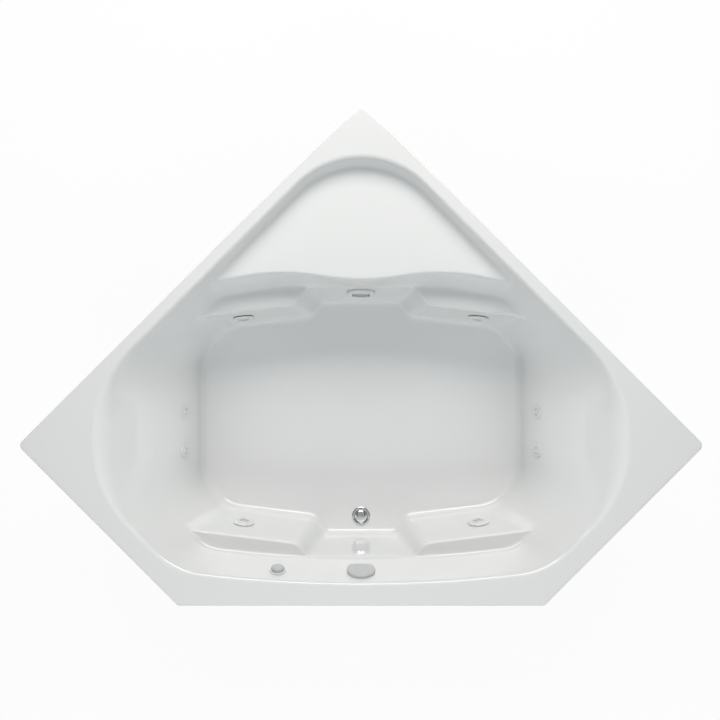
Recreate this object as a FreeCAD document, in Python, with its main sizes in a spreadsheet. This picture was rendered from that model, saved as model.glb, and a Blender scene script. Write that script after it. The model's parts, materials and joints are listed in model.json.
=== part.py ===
import FreeCAD
import Part
import Sketcher
import math
import os
from FreeCAD import Placement, Rotation, Vector

# Corner bath with water jets, in millimetres.
# +X is to the right, +Y towards the room corner behind the bath, +Z up.
# The origin is on the floor, under the middle of the bath's bounding box.

# ---------------------------------------------------------------------------
# Driving dimensions
# ---------------------------------------------------------------------------

SIZES = [
    # the five-sided deck
    ("wall_side", 1524, "length of each side that stands against a wall"),
    ("return_side", 711, "length of each short side that leaves the wall"),
    ("rim_height", 533, "floor of the room to the top of the deck"),
    ("skin", 5, "thickness of the acrylic and its backing"),
    ("lip_drop", 40, "depth of the deck's turned-down edge"),
    ("lip_round", 4, "rounding of the deck's outer edge"),
    ("corner_round", 12, "rounding of the deck's corners in plan"),
    ("tip_round", 20, "rounding of the deck's left and right tips in plan"),
    # the mouth of the well, as widths of deck left round it
    ("deck_wall", 40, "deck left along the two walls"),
    ("deck_return", 70, "deck left along the two short sides"),
    ("deck_front", 71, "deck left in the middle of the front side"),
    ("front_bow", 6.4, "angle of each half of the bowed front side, degrees"),
    ("front_bow_round", 4300, "radius of the bow of the front side"),
    ("mouth_half_width", 821, "middle of the bath to the end of the well"),
    ("mouth_end_round", 385, "radius of the mouth's left and right ends"),
    ("mouth_front_round", 246, "radius of the mouth's front corners"),
    ("mouth_back_round", 283, "radius of the mouth's corner at the back"),
    ("edge_round", 9, "rounding of the mouth's edge"),
    ("end_edge_round", 26, "rounding of the mouth's edge over a backrest"),
    # the corner shelf and its wavy edge
    ("shelf_depth", 50, "deck to the corner shelf"),
    ("wave_middle", 232, "wavy edge in the middle"),
    ("wave_crest_out", 262, "distance of each crest from the middle"),
    ("wave_crest", 273, "wavy edge at its crests"),
    ("wave_shoulder_out", 484, "distance of each shoulder from the middle"),
    ("wave_shoulder", 232, "wavy edge at its shoulders"),
    ("wave_round", 700, "radius of the bends of the wavy edge"),
    ("shoulder_round", 60, "radius where the wavy edge meets the side"),
    # the four armrests
    ("ledge_depth", 150, "deck to the tops of the armrests"),
    ("ledge_back_middle", 229, "back wall at armrest height, in the middle"),
    ("ledge_back_crest", 233, "back wall at armrest height, under a crest"),
    ("ledge_back_shoulder", 196, "back wall at armrest height, at a shoulder"),
    ("ledge_front_inset", 33, "how far the front wall leans in above an armrest"),
    ("ledge_corner_round", 130, "radius of the corners at armrest height"),
    ("ledge_bow_round", 3850, "radius of the bowed front wall at armrest height"),
    ("ledge_end_round", 280, "radius beside a backrest at armrest height"),
    ("armrest_back", 147, "back armrest's inner edge, half way along"),
    ("armrest_front", 609, "front armrest's inner edge, half way along"),
    ("armrest_middle", 400, "half way along an armrest, from the middle"),
    ("armrest_slant", 7, "slant of an armrest in plan, degrees"),
    ("armrest_lean", 22, "how far an armrest's wall leans in down to the floor"),
    ("armrest_round", 55, "radius at the inner end of an armrest"),
    ("armrest_end_round", 90, "radius where an armrest runs into a backrest"),
    ("bay_half_width", 178, "middle to the side of a bay at armrest height"),
    ("bay_side_angle", 52, "slant of a bay's side in plan, degrees"),
    ("bay_lean", 40, "how far a bay's side leans in down to the floor"),
    ("bay_round", 35, "radius in the corners of a bay"),
    ("bay_back_lean", 24, "how far the back bay leans in down to the floor"),
    ("bay_front_step", 5, "step at armrest height in the front bay"),
    ("bay_front_lean", 4, "how far the front bay leans in down to the floor"),
    # the walls of the well and its floor
    ("floor_height", 93, "floor of the room to the floor of the well"),
    ("end_lean_ledge", 121, "backrest's lean down to armrest height"),
    ("end_lean_floor", 217, "backrest's lean down to the floor"),
    ("return_lean_ledge", 67, "front corner's lean down to armrest height"),
    ("return_lean_floor", 131, "front corner's lean down to the floor"),
    ("wall_lean_ledge", 43, "back corner's lean down to armrest height"),
    ("wall_lean_floor", 87, "back corner's lean down to the floor"),
    ("floor_end_round", 150, "radius of the floor's corners in plan"),
    ("cove_round", 24, "radius between the floor and the walls"),
    # what holds the shell up
    ("board_thick", 15, "thickness of the board bonded under the floor"),
    ("board_inset", 30, "floor's edge to the edge of that board"),
    ("foot_length", 110, "length of each foot block"),
    ("foot_width", 60, "width of each foot block"),
    ("foot_taper", 8, "how much narrower a foot block is at its bottom"),
    ("foot_out", 400, "middle of the bath to the outer foot blocks"),
    ("foot_back", 60, "place of the back row of foot blocks"),
    ("foot_front", -470, "place of the front row of foot blocks"),
    ("stiffener_thick", 18, "thickness of the boards under the deck"),
    ("stiffener_gap", 3, "gap between those boards and the deck's lip"),
    ("stiffener_start", 885, "middle of the bath to the boards under the tips"),
    ("front_strip_width", 44, "width of the strip under the front deck"),
    ("front_strip_half", 380, "half the length of that strip"),
    # drain, overflow and waste
    ("seat_gap", 0.2, "clearance between pieces that are screwed together"),
    ("slide_gap", 0.3, "clearance between pieces that move past each other"),
    ("turn_gap", 0.05, "clearance of a shaft in its bearing"),
    ("drain_y", -614, "place of the drain, forward of the middle"),
    ("drain_hole", 26, "radius of the drain's hole"),
    ("drain_flange", 36.5, "radius of the chrome drain flange"),
    ("drain_throat", 19, "radius of the drain's throat"),
    ("drain_rise", 3.2, "height of the drain flange above the floor"),
    ("drain_reach", 38, "length of the drain flange's tube below the floor"),
    ("washer", 3, "thickness of the rubber washers"),
    ("stopper_radius", 23.5, "radius of the drain stopper"),
    ("stopper_stem", 48, "floor to the bottom of the stopper's stem"),
    ("stem_radius", 3.5, "radius of the stopper's stem"),
    ("stopper_travel", 9, "how far the stopper lifts"),
    ("tube_radius", 19.05, "radius of the waste tubes"),
    ("tube_wall", 1.5, "wall of the waste tubes"),
    ("fitting_wall", 4.5, "wall of the waste fittings"),
    ("waste_height", 40, "height of the waste tube above the floor of the room"),
    ("waste_y", -752, "place of the upright overflow tube"),
    ("shoe_reach", 50, "drain's axis to the end of the shoe"),
    ("tee_reach", 34, "tee's axis to the end of each of its branches"),
    ("tee_rise", 36, "tee's axis to the end of its upright branch"),
    ("tail_length", 14, "free end of the tail pipe, below its stop bead"),
    ("tail_bead", 2, "how far the tail pipe's stop bead stands out"),
    ("nut_length", 15, "length of a slip nut"),
    ("nut_wall", 5, "wall of a slip nut"),
    ("overflow_depth", 70, "deck to the overflow's axis"),
    ("overflow_hole", 27, "radius of the overflow's hole"),
    ("overflow_drop", 34, "overflow's axis to the lower end of its elbow"),
    ("overflow_half_width", 46, "half the width of the overflow cover"),
    ("overflow_foot", 25, "overflow's axis to the flat bottom of its cover"),
    ("overflow_proud", 13, "how far the overflow cover stands out"),
    ("cover_wall", 2.5, "wall of the moulded covers"),
    ("cover_round", 4, "rounding of the overflow cover's edge"),
    # suction fitting
    ("suction_rise", 205, "floor of the well to the suction fitting's axis"),
    ("suction_hole", 25, "radius of the suction fitting's hole"),
    ("suction_radius", 50, "radius of the suction cover"),
    ("suction_proud", 17, "how far the suction cover stands out"),
    ("suction_slots", 7, "number of slots in the suction cover"),
    ("suction_slot_width", 4.5, "width of each slot"),
    ("suction_slot_pitch", 9, "distance from slot to slot"),
    ("suction_elbow", 45, "wall to the axis of the suction elbow"),
    ("hose_radius", 25, "radius of the suction pipe"),
    ("hose_wall", 2.5, "wall of the suction pipe"),
    ("hose_bend", 55, "bend radius of the suction pipe"),
    # pump
    ("pump_y", 400, "place of the pump's inlet face"),
    ("pump_height", 125, "height of the pump's shaft above the floor of the room"),
    ("volute_radius", 75, "radius of the pump casing"),
    ("volute_length", 50, "length of the pump casing"),
    ("volute_wall", 8, "wall of the pump casing"),
    ("inlet_length", 26, "length of the pump's inlet neck"),
    ("port_wall", 5, "wall of the pump's ports"),
    ("outlet_reach", 112, "pump's axis to the end of its outlet"),
    ("impeller_radius", 52, "radius of the impeller"),
    ("impeller_vanes", 6, "number of the impeller's vanes"),
    ("shaft_radius", 7.5, "radius of the pump's shaft"),
    ("plate_thick", 9, "thickness of the plate between casing and motor"),
    ("motor_radius", 60, "radius of the motor's housing"),
    ("motor_length", 170, "length of the motor's housing"),
    ("fin_height", 5, "height of the motor's fins"),
    ("fin_count", 16, "number of the motor's fins"),
    ("fan_length", 38, "length of the motor's fan cover"),
    ("saddle_width", 110, "width of the motor's saddle"),
    ("saddle_length", 130, "length of the motor's saddle"),
    ("pad_thick", 8, "thickness of the rubber pads under the pump"),
    ("pad_side", 30, "side of each rubber pad"),
    ("pump_board_thick", 15, "thickness of the board under the pump"),
    ("box_length", 80, "length of the terminal box"),
    ("box_width", 60, "width of the terminal box"),
    ("box_height", 34, "height of the terminal box"),
    ("gland_bore", 5, "radius of the cable gland's bore"),
    # jets
    ("jet_out", 418, "middle of the bath to each armrest jet"),
    ("jet_rise", 165, "floor of the well to the armrest jets"),
    ("jet_hole", 24, "radius of a jet's hole"),
    ("jet_flange", 33, "radius of a jet body's flange"),
    ("jet_body", 30, "radius of a jet body behind the wall"),
    ("jet_length", 58, "wall to the back of a jet body"),
    ("jet_trim", 37.5, "radius of a jet's trim ring"),
    ("ball_radius", 15, "radius of a jet's ball"),
    ("ball_bore", 6, "radius of the nozzle in a jet's ball"),
    ("ball_tilt", 12, "how far a jet's ball tilts each way, degrees"),
    ("back_jet_front", -341, "place of the front back-jets"),
    ("back_jet_back", -203, "place of the back back-jets"),
    ("back_jet_rise", 150, "floor of the well to the back-jets"),
    ("back_jet_hole", 17, "radius of a back-jet's hole"),
    ("back_jet_flange", 26, "radius of a back-jet's flange"),
    ("rotor_radius", 13, "radius of a back-jet's rotor"),
    ("rotor_hole", 3.4, "radius of each hole in a rotor"),
    ("rotor_hole_out", 7.5, "rotor's axis to each of its holes"),
    # air control
    ("air_x", -269, "place of the air control along the front wall"),
    ("air_depth", 58, "deck to the air control"),
    ("air_hole", 17, "radius of the air control's hole"),
    ("air_flange", 27, "radius of the air control's flange"),
    ("air_knob", 21, "radius of the air control's knob"),
    ("air_knob_proud", 16, "how far the knob stands out"),
    # water and air lines
    ("water_radius", 16.7, "radius of the water line"),
    ("air_radius", 10, "radius of the air line"),
    ("air_line_rise", 210, "floor of the well to the air line"),
    ("line_wall", 2, "wall of the water and air lines"),
    ("line_bend", 45, "bend radius of the water and air lines"),
    ("line_offset", 40, "jet's wall to the water and air lines"),
    ("line_corner", 250, "end jets to where the lines turn off beside them"),
    ("crossing_y", 334, "place of the lines that pass behind the suction fitting"),
    ("tee_run", 34, "water tee's axis to each of its ends"),
    ("tee_grip", 18, "how far a pipe goes into a tee or coupling"),
    ("water_port", 13, "radius of a jet's water port"),
    ("back_water_port", 10, "radius of a back-jet's water port"),
    ("air_port", 7, "radius of an air port"),
    ("air_setback", 31, "wall to the air control's port"),
    ("pump_board_width", 220, "width of the board under the pump"),
    ("pump_board_length", 300, "length of the board under the pump"),
    ("pump_board_out", 110, "front of the pump to the middle of its board"),
    ("cap_length", 16, "length of the caps on the ends of the lines"),
    ("back_line_offset", 48, "back-jet's wall to the water and air lines"),
    ("back_jet_length", 62, "wall to the back of a back-jet's body"),
    ("back_jet_body", 20, "radius of a back-jet's body"),
    ("bow_gap", 0.6, "wall to the flat back of a fitting on the bowed wall"),
    ("bow_nut_gap", 1.8, "bowed wall to the face of a nut behind it"),
    ("curve_nut_gap", 4.5, "curved backrest to the face of a nut behind it"),
    ("jet_bore", 9, "radius of the water way through a jet"),
    ("back_jet_bore", 7, "radius of the water way through a back-jet"),
    ("port_reach", 34, "jet's axis to the ends of its ports"),
]


class Size:
    """A length that knows its value and the spreadsheet expression behind it."""

    def __init__(self, value, text):
        self.value = float(value)
        self.text = text

    def __float__(self):
        return self.value

    def __add__(self, other):
        other = as_size(other)
        return Size(self.value + other.value, f"({self.text} + {other.text})")

    def __radd__(self, other):
        return as_size(other) + self

    def __sub__(self, other):
        other = as_size(other)
        return Size(self.value - other.value, f"({self.text} - {other.text})")

    def __rsub__(self, other):
        return as_size(other) - self

    def __mul__(self, other):
        other = as_size(other)
        return Size(self.value * other.value, f"({self.text} * {other.text})")

    def __rmul__(self, other):
        return as_size(other) * self

    def __truediv__(self, other):
        other = as_size(other)
        return Size(self.value / other.value, f"({self.text} / {other.text})")

    def __neg__(self):
        return as_size(0) - self


def as_size(value):
    return value if isinstance(value, Size) else Size(value, repr(float(value)))


class Names:
    """Holds one attribute for each alias of the sheet."""


doc = FreeCAD.newDocument("corner_bath")
table = doc.addObject("Spreadsheet::Sheet", "Sizes")
for row, (alias, value, note) in enumerate(SIZES, start=1):
    table.set(f"A{row}", note)
    table.set(f"B{row}", str(value))
    table.setAlias(f"B{row}", alias)
doc.recompute()
S = Names()  # sizes with their expressions, for what is bound to the sheet
V = Names()  # the same sizes as plain numbers, for plan geometry and places
for alias, _, _ in SIZES:
    setattr(V, alias, float(table.get(alias)))
    setattr(S, alias, Size(getattr(V, alias), f"Sizes.{alias}"))

ROOT2 = math.sqrt(2.0)
HALF_WIDTH = V.wall_side / ROOT2
FRONT_HALF = HALF_WIDTH - V.return_side / ROOT2
DECK_DEPTH = (V.wall_side + V.return_side) / ROOT2
APEX_BLUNT = V.corner_round * (ROOT2 - 1.0)  # what the rounded back corner takes off
APEX_Y = (DECK_DEPTH + APEX_BLUNT) / 2
FRONT_Y = APEX_Y - DECK_DEPTH
WELL_DEPTH = V.rim_height - V.floor_height
AIR_Z = V.floor_height + V.air_line_rise

parts = []  # every sub-part that is written out


def keep(feature, label):
    """Registers a document object as a sub-part under its own label."""
    feature.Label = label
    parts.append(feature)
    return feature


# ---------------------------------------------------------------------------
# Outlines in plan: straight walls met by round corners
# ---------------------------------------------------------------------------

class Wall:
    """A straight wall in plan: its outward direction and its distance out."""

    def __init__(self, nx, ny, distance):
        self.nx = nx
        self.ny = ny
        self.distance = distance

    @classmethod
    def facing(cls, out_angle, distance=0.0):
        angle = math.radians(out_angle)
        return cls(math.cos(angle), math.sin(angle), distance)

    @classmethod
    def through(cls, x, y, out_angle):
        wall = cls.facing(out_angle)
        wall.distance = wall.nx * x + wall.ny * y
        return wall

    @classmethod
    def joining(cls, first, last):
        """The wall from first to last, with the inside on its left."""
        out_angle = math.degrees(math.atan2(last[1] - first[1], last[0] - first[0])) - 90.0
        return cls.through(first[0], first[1], out_angle)

    def moved(self, outwards):
        return Wall(self.nx, self.ny, self.distance + outwards)

    def mirrored(self):
        return Wall(-self.nx, self.ny, self.distance)

    def meet(self, other):
        det = self.nx * other.ny - self.ny * other.nx
        x = (self.distance * other.ny - self.ny * other.distance) / det
        y = (self.nx * other.distance - self.distance * other.nx) / det
        return Vector(x, y, 0)


def both_halves(walls, rounds, front_round=None, back_round=None):
    """Closes a right half, listed front to back, with its mirror image.

    rounds lie between the walls of the half. A first or last wall that crosses
    the middle line is shared, and has no round of its own there.
    """
    left = [wall.mirrored() for wall in reversed(walls)]
    corners = list(rounds) + list(reversed(rounds))
    if back_round is None:
        left = left[1:]
    else:
        corners.insert(len(rounds), back_round)
    if front_round is None:
        left = left[:-1]
        corners = corners[-1:] + corners[:-1]
    else:
        corners.insert(0, front_round)
    return walls + left, corners


def outline(walls, radii, z, grow=0.0):
    """A closed wire: walls in order, with radii[i] where walls[i-1] meets walls[i]."""
    grown = [wall.moved(grow) for wall in walls]
    arcs = []
    for i, wall in enumerate(grown):
        before = grown[i - 1]
        turn = math.atan2(before.nx * wall.ny - before.ny * wall.nx,
                          before.nx * wall.nx + before.ny * wall.ny)
        corner = before.meet(wall)
        sign = math.copysign(1.0, turn)
        radius = max(radii[i] + sign * grow, 1.0)
        reach = radius * math.tan(abs(turn) / 2)
        first = corner - Vector(-before.ny, before.nx, 0) * reach
        last = corner + Vector(-wall.ny, wall.nx, 0) * reach
        centre = first - Vector(before.nx, before.ny, 0) * (sign * radius)
        middle = centre + (corner - centre).normalize() * radius
        height = Vector(0, 0, z)
        arcs.append((first + height, middle + height, last + height))
    edges = []
    for i, (first, middle, last) in enumerate(arcs):
        edges.append(Part.Arc(first, middle, last).toShape())
        following = arcs[(i + 1) % len(arcs)][0]
        edges.append(Part.LineSegment(last, following).toShape())
    return Part.Wire(edges)


def stack(rings):
    """A solid through rings of the same make, one above the other."""
    return Part.makeLoft(rings, True, True)


# ---------------------------------------------------------------------------
# The well: where each wall stands at a given depth below the deck
# ---------------------------------------------------------------------------

def lean(depth, at_ledge, at_floor):
    """A wall that leans most at the top and straightens towards the floor."""
    bend = (at_floor / WELL_DEPTH - at_ledge / V.ledge_depth) / (WELL_DEPTH - V.ledge_depth)
    start = at_ledge / V.ledge_depth - bend * V.ledge_depth
    return start * depth + bend * depth * depth


def rounded(depth, radius):
    """What a quarter-round edge of this radius adds to the opening at a depth."""
    inside = min(max(depth, 0.0), radius)
    return radius - math.sqrt(radius * radius - (radius - inside) ** 2)


def coved(depth, radius):
    """What a hollow round above the floor takes off the opening at a depth."""
    inside = min(max(depth - WELL_DEPTH + V.cove_round, 0.0), radius)
    return radius - math.sqrt(radius ** 2 - inside ** 2)


def part_way(low, high, share):
    return low + (high - low) * share


def end_walls(depth):
    """The three walls of one end: by the front, the backrest, and by the back."""
    below = max(depth, 0.0)
    crisp = rounded(depth, V.edge_round)
    soft = rounded(depth, V.end_edge_round)
    by_front = (FRONT_HALF - FRONT_Y) / ROOT2 - V.deck_return + crisp
    by_front -= lean(below, V.return_lean_ledge, V.return_lean_floor)
    backrest = V.mouth_half_width + soft - lean(below, V.end_lean_ledge, V.end_lean_floor)
    by_back = APEX_Y / ROOT2 - V.deck_wall + crisp
    by_back -= lean(below, V.wall_lean_ledge, V.wall_lean_floor)
    return [Wall.facing(-45.0, by_front), Wall.facing(0.0, backrest), Wall.facing(45.0, by_back)]


def front_wall(depth):
    """The right half of the bowed front wall, down to armrest height."""
    bow = math.radians(V.front_bow)
    peak = FRONT_Y + V.deck_front - V.front_bow_round * (1.0 / math.cos(bow) - 1.0)
    leaned = V.ledge_front_inset * max(depth, 0.0) / V.ledge_depth
    wall = Wall.through(0.0, peak, -90.0 + V.front_bow)
    return wall.moved(rounded(depth, V.edge_round) - leaned)


def back_walls(depth):
    """The right half of the wavy back wall, from the shelf down to armrest height."""
    share = (depth - V.shelf_depth) / (V.ledge_depth - V.shelf_depth)
    shoulder = (V.wave_shoulder_out, part_way(V.wave_shoulder, V.ledge_back_shoulder, share))
    crest = (V.wave_crest_out, part_way(V.wave_crest, V.ledge_back_crest, share))
    middle = (0.0, part_way(V.wave_middle, V.ledge_back_middle, share))
    round_over = rounded(depth - V.shelf_depth, V.edge_round)
    return [Wall.joining(shoulder, crest).moved(round_over),
            Wall.joining(crest, middle).moved(round_over)]


def mouth_rounds(depth):
    share = max(depth, 0.0) / V.ledge_depth
    front = part_way(V.mouth_front_round, V.ledge_corner_round, share)
    end = part_way(V.mouth_end_round, V.ledge_end_round, share)
    return [front, end, end]


def bow_round(depth):
    return part_way(V.front_bow_round, V.ledge_bow_round, max(depth, 0.0) / V.ledge_depth)


def mouth_ring(depth, grow=0.0):
    """The five-sided mouth of the whole bath, from the deck to the shelf."""
    walls = [front_wall(depth)] + end_walls(depth)
    closed = both_halves(walls, mouth_rounds(depth), bow_round(depth), V.mouth_back_round)
    return outline(*closed, V.rim_height - depth, grow)


def upper_ring(depth, grow=0.0):
    """The well between the wavy edge of the shelf and the tops of the armrests."""
    share = (depth - V.shelf_depth) / (V.ledge_depth - V.shelf_depth)
    shoulder = part_way(V.shoulder_round, V.ledge_corner_round, share)
    walls = [front_wall(depth)] + end_walls(depth) + back_walls(depth)
    rounds = mouth_rounds(depth) + [shoulder, V.wave_round]
    closed = both_halves(walls, rounds, bow_round(depth), V.wave_round)
    return outline(*closed, V.rim_height - depth, grow)


def lower_walls(depth):
    """The right half of the well below the armrests, listed front to back."""
    share = (depth - V.ledge_depth) / (WELL_DEPTH - V.ledge_depth)
    front_y = FRONT_Y + V.deck_front + V.ledge_front_inset + V.bay_front_step
    front_bay = Wall.through(0.0, front_y + V.bay_front_lean * share, -90.0)
    back_bay = Wall.through(0.0, V.ledge_back_middle - V.bay_back_lean * share, 90.0)
    bay_in = -V.bay_lean * share
    front_side = Wall.through(V.bay_half_width, front_y, -90.0 + V.bay_side_angle).moved(bay_in)
    back_side = Wall.through(V.bay_half_width, V.ledge_back_middle, 90.0 - V.bay_side_angle)
    arm_out = rounded(depth - V.ledge_depth, V.edge_round) - V.armrest_lean * share
    front_arm = Wall.through(V.armrest_middle, -V.armrest_front, -90.0 + V.armrest_slant)
    back_arm = Wall.through(V.armrest_middle, V.armrest_back, 90.0 - V.armrest_slant)
    return ([front_bay, front_side, front_arm.moved(arm_out)] + end_walls(depth)
            + [back_arm.moved(arm_out), back_side.moved(bay_in), back_bay])


def lower_ring(depth, grow=0.0):
    """The well below the tops of the armrests, with a bay in its front and back.

    A ring grown by the skin has the hollow round of the outside.
    """
    share = (depth - V.ledge_depth) / (WELL_DEPTH - V.ledge_depth)
    end = part_way(V.ledge_end_round, V.floor_end_round, share)
    arm_end = part_way(V.armrest_end_round, V.floor_end_round, share)
    rounds = [V.bay_round, V.armrest_round, arm_end, end, end, arm_end, V.armrest_round, V.bay_round]
    closed = both_halves(lower_walls(depth), rounds)
    return outline(*closed, V.rim_height - depth, grow - coved(depth, V.cove_round + grow))


def deck_ring(z, grow=0.0):
    """The outside of the deck."""
    walls = [Wall.facing(-90.0, -FRONT_Y),
             Wall.facing(-45.0, (FRONT_HALF - FRONT_Y) / ROOT2),
             Wall.facing(45.0, APEX_Y / ROOT2)]
    closed = both_halves(walls, [V.corner_round, V.tip_round], back_round=V.corner_round)
    return outline(*closed, z, grow)


def steps(first, last, count):
    return [part_way(first, last, i / count) for i in range(count + 1)]


def quarter_depths(start, radius, count):
    """Depths that divide a quarter-round edge into equal turns."""
    return [start + radius * (1.0 - math.cos(math.pi / 2 * i / count)) for i in range(count + 1)]


# ---------------------------------------------------------------------------
# Bath shell
# ---------------------------------------------------------------------------

def mouth_depths():
    """From above the deck, round the edges, and down to the shelf."""
    crisp = quarter_depths(0.0, V.edge_round, 2)
    return [-V.edge_round] + crisp + [V.end_edge_round, V.shelf_depth]


def upper_depths():
    """Round the wavy edge, and down to the tops of the armrests."""
    return quarter_depths(V.shelf_depth, V.edge_round, 2) + steps(V.shelf_depth, V.ledge_depth, 2)[1:]


def cove_depths(radius, count):
    """Depths that divide the hollow round into equal turns."""
    start = WELL_DEPTH - V.cove_round
    return [start + radius * math.sin(math.pi / 2 * i / count) for i in range(1, count + 1)]


def wall_depths(first, count):
    return steps(first, WELL_DEPTH - V.cove_round, count)


def lower_depths():
    """Round the armrests' edges, down to the floor and round into it."""
    edge = quarter_depths(V.ledge_depth, V.edge_round, 2)
    return edge + wall_depths(V.ledge_depth, 3)[1:] + cove_depths(V.cove_round, 3)


def well_voids():
    """The space inside the bath: mouth, upper well and lower well."""
    return [stack([mouth_ring(depth) for depth in mouth_depths()]),
            stack([upper_ring(depth) for depth in upper_depths()]),
            stack([lower_ring(depth) for depth in lower_depths()])]


def outer_stage(ring, depths):
    """The outside of one stage of the well, with its shelf a skin thicker."""
    rings = [ring(depth, V.skin) for depth in depths]
    shelf = rings[-1].copy()
    shelf.translate(Vector(0, 0, -V.skin))
    return stack(rings + [shelf])


def deck_blank():
    """The deck with its turned-down lip, as if there were no well."""
    block = Part.Face(deck_ring(V.rim_height - V.lip_drop)).extrude(Vector(0, 0, V.lip_drop))
    top_edges = [edge for edge in block.Edges if edge.BoundBox.ZMin > V.rim_height - V.skin / 2]
    hollow = Part.Face(deck_ring(V.rim_height - V.lip_drop - V.skin, -V.skin))
    return block.makeFillet(V.lip_round, top_edges).cut(hollow.extrude(Vector(0, 0, V.lip_drop)))


def bath_blank():
    """The whole shell before any hole is cut in it."""
    mouth = outer_stage(mouth_ring, [0.0, V.end_edge_round, V.shelf_depth])
    upper = outer_stage(upper_ring, steps(V.shelf_depth, V.ledge_depth, 2))
    lower_outer = wall_depths(V.ledge_depth, 3) + cove_depths(V.cove_round + V.skin, 2)
    lower = stack([lower_ring(depth, V.skin) for depth in lower_outer])
    return deck_blank().fuse([mouth, upper, lower]).cut(well_voids())


# ---------------------------------------------------------------------------
# Ways to make a piece
# ---------------------------------------------------------------------------

XY, XZ, YZ = "XY_Plane", "XZ_Plane", "YZ_Plane"


def new_body(name):
    return doc.addObject("PartDesign::Body", name)


def sketch_on(body, role, offset=0.0):
    """An empty sketch on one of the body's own origin planes, raised by offset."""
    plane = next(item for item in body.Origin.OriginFeatures if item.Role == role)
    sketch = body.newObject("Sketcher::SketchObject", body.Name + "Sketch")
    sketch.AttachmentSupport = [(plane, "")]
    sketch.MapMode = "FlatFace"
    lift = as_size(offset)
    sketch.AttachmentOffset = Placement(Vector(0, 0, float(lift)), Rotation())
    sketch.setExpression("AttachmentOffset.Base.z", lift.text)
    return sketch


def bind(sketch, kind, *where, size):
    """Adds a dimension to a sketch and ties it to the sheet."""
    size = as_size(size)
    index = sketch.addConstraint(Sketcher.Constraint(kind, *where, float(size)))
    sketch.setExpression(f"Constraints[{index}]", size.text)


def draw_polygon(sketch, points):
    """A closed outline, each corner dimensioned from the sketch's origin."""
    first = sketch.GeometryCount
    count = len(points)
    places = [Vector(float(as_size(x)), float(as_size(y)), 0) for x, y in points]
    for i in range(count):
        sketch.addGeometry(Part.LineSegment(places[i], places[(i + 1) % count]), False)
    for i in range(count):
        following = first + (i + 1) % count
        sketch.addConstraint(Sketcher.Constraint("Coincident", first + i, 2, following, 1))
    for i, (x, y) in enumerate(points):
        bind(sketch, "DistanceX", -1, 1, first + i, 1, size=x)
        bind(sketch, "DistanceY", -1, 1, first + i, 1, size=y)


def draw_circle(sketch, radius, x=0, y=0):
    centre = Vector(float(as_size(x)), float(as_size(y)), 0)
    index = sketch.addGeometry(Part.Circle(centre, Vector(0, 0, 1), float(as_size(radius))), False)
    bind(sketch, "Radius", index, size=radius)
    bind(sketch, "DistanceX", -1, 1, index, 3, size=x)
    bind(sketch, "DistanceY", -1, 1, index, 3, size=y)


def turned(name, profile):
    """A body turned about its own Z axis from a profile of (radius, height) corners."""
    body = new_body(name)
    sketch = sketch_on(body, XZ)
    draw_polygon(sketch, profile)
    turn = body.newObject("PartDesign::Revolution", name + "Turn")
    turn.Profile = sketch
    turn.ReferenceAxis = (sketch, ["V_Axis"])
    turn.Angle = 360
    return body


def pad(body, sketch, length):
    feature = body.newObject("PartDesign::Pad", body.Name + "Pad")
    feature.Profile = sketch
    feature.Length = float(as_size(length))
    feature.setExpression("Length", as_size(length).text)
    return feature


def pocket(body, sketch, length, reversed_=False):
    """Cuts a sketch into its body, and checks that it did cut."""
    doc.recompute()
    before = body.Shape.Volume
    feature = body.newObject("PartDesign::Pocket", body.Name + "Pocket")
    feature.Profile = sketch
    feature.Length = float(as_size(length))
    feature.setExpression("Length", as_size(length).text)
    feature.Reversed = reversed_
    doc.recompute()
    assert body.Shape.Volume < before, body.Name + ": a pocket cut nothing"
    return feature


def polar(body, feature, count):
    """Repeats the body's last feature round its Z axis."""
    pattern = body.newObject("PartDesign::PolarPattern", body.Name + "Pattern")
    pattern.Originals = [feature]
    axis = next(item for item in body.Origin.OriginFeatures if item.Role == "Z_Axis")
    pattern.Axis = (axis, [""])
    pattern.Angle = 360
    pattern.Occurrences = int(float(count))
    pattern.setExpression("Occurrences", as_size(count).text)
    body.Tip = pattern
    return pattern


def block(name, length, width, height, base=Vector(0, 0, 0)):
    """A Part box centred on its base point in plan."""
    box = doc.addObject("Part::Box", name)
    for key, size in (("Length", length), ("Width", width), ("Height", height)):
        box.setExpression(key, as_size(size).text)
    place = base - Vector(float(as_size(length)) / 2, float(as_size(width)) / 2, 0)
    box.Placement = Placement(place, Rotation())
    return box


def fixed(name, shape, place=None):
    """A piece whose shape is worked out from the sheet by Part's own functions."""
    feature = doc.addObject("Part::Feature", name)
    feature.Shape = shape
    if place is not None:
        feature.Placement = place
    return feature


def group(name, original, places):
    """Copies of one piece as separate solids of one sub-part."""
    links = []
    for i, place in enumerate(places, start=1):
        link = doc.addObject("App::Link", f"{name}_{i}")
        link.LinkedObject = original
        link.Placement = place
        links.append(link)
    compound = doc.addObject("Part::Compound", name)
    compound.Links = links
    return keep(compound, name)


def at(x, y, z):
    return Placement(Vector(x, y, z), Rotation())


def rod(radius, start, end):
    """A plain cylinder from one point to another."""
    run = end - start
    return Part.makeCylinder(radius, run.Length, start, run)


def bent_path(points, bend):
    """Straight runs joined by arcs that touch them."""
    edges = []
    start = points[0]
    for before, corner, after in zip(points, points[1:], points[2:]):
        along_in = (corner - before).normalize()
        along_out = (after - corner).normalize()
        turn = along_in.getAngle(along_out)
        reach = bend * math.tan(turn / 2)
        first = corner - along_in * reach
        last = corner + along_out * reach
        inside = (along_out - along_in).normalize()
        centre = corner + inside * (bend / math.cos(turn / 2))
        middle = centre - inside * bend
        edges.append(Part.LineSegment(start, first).toShape())
        edges.append(Part.Arc(first, middle, last).toShape())
        start = last
    edges.append(Part.LineSegment(start, points[-1]).toShape())
    return Part.Wire(edges)


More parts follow.
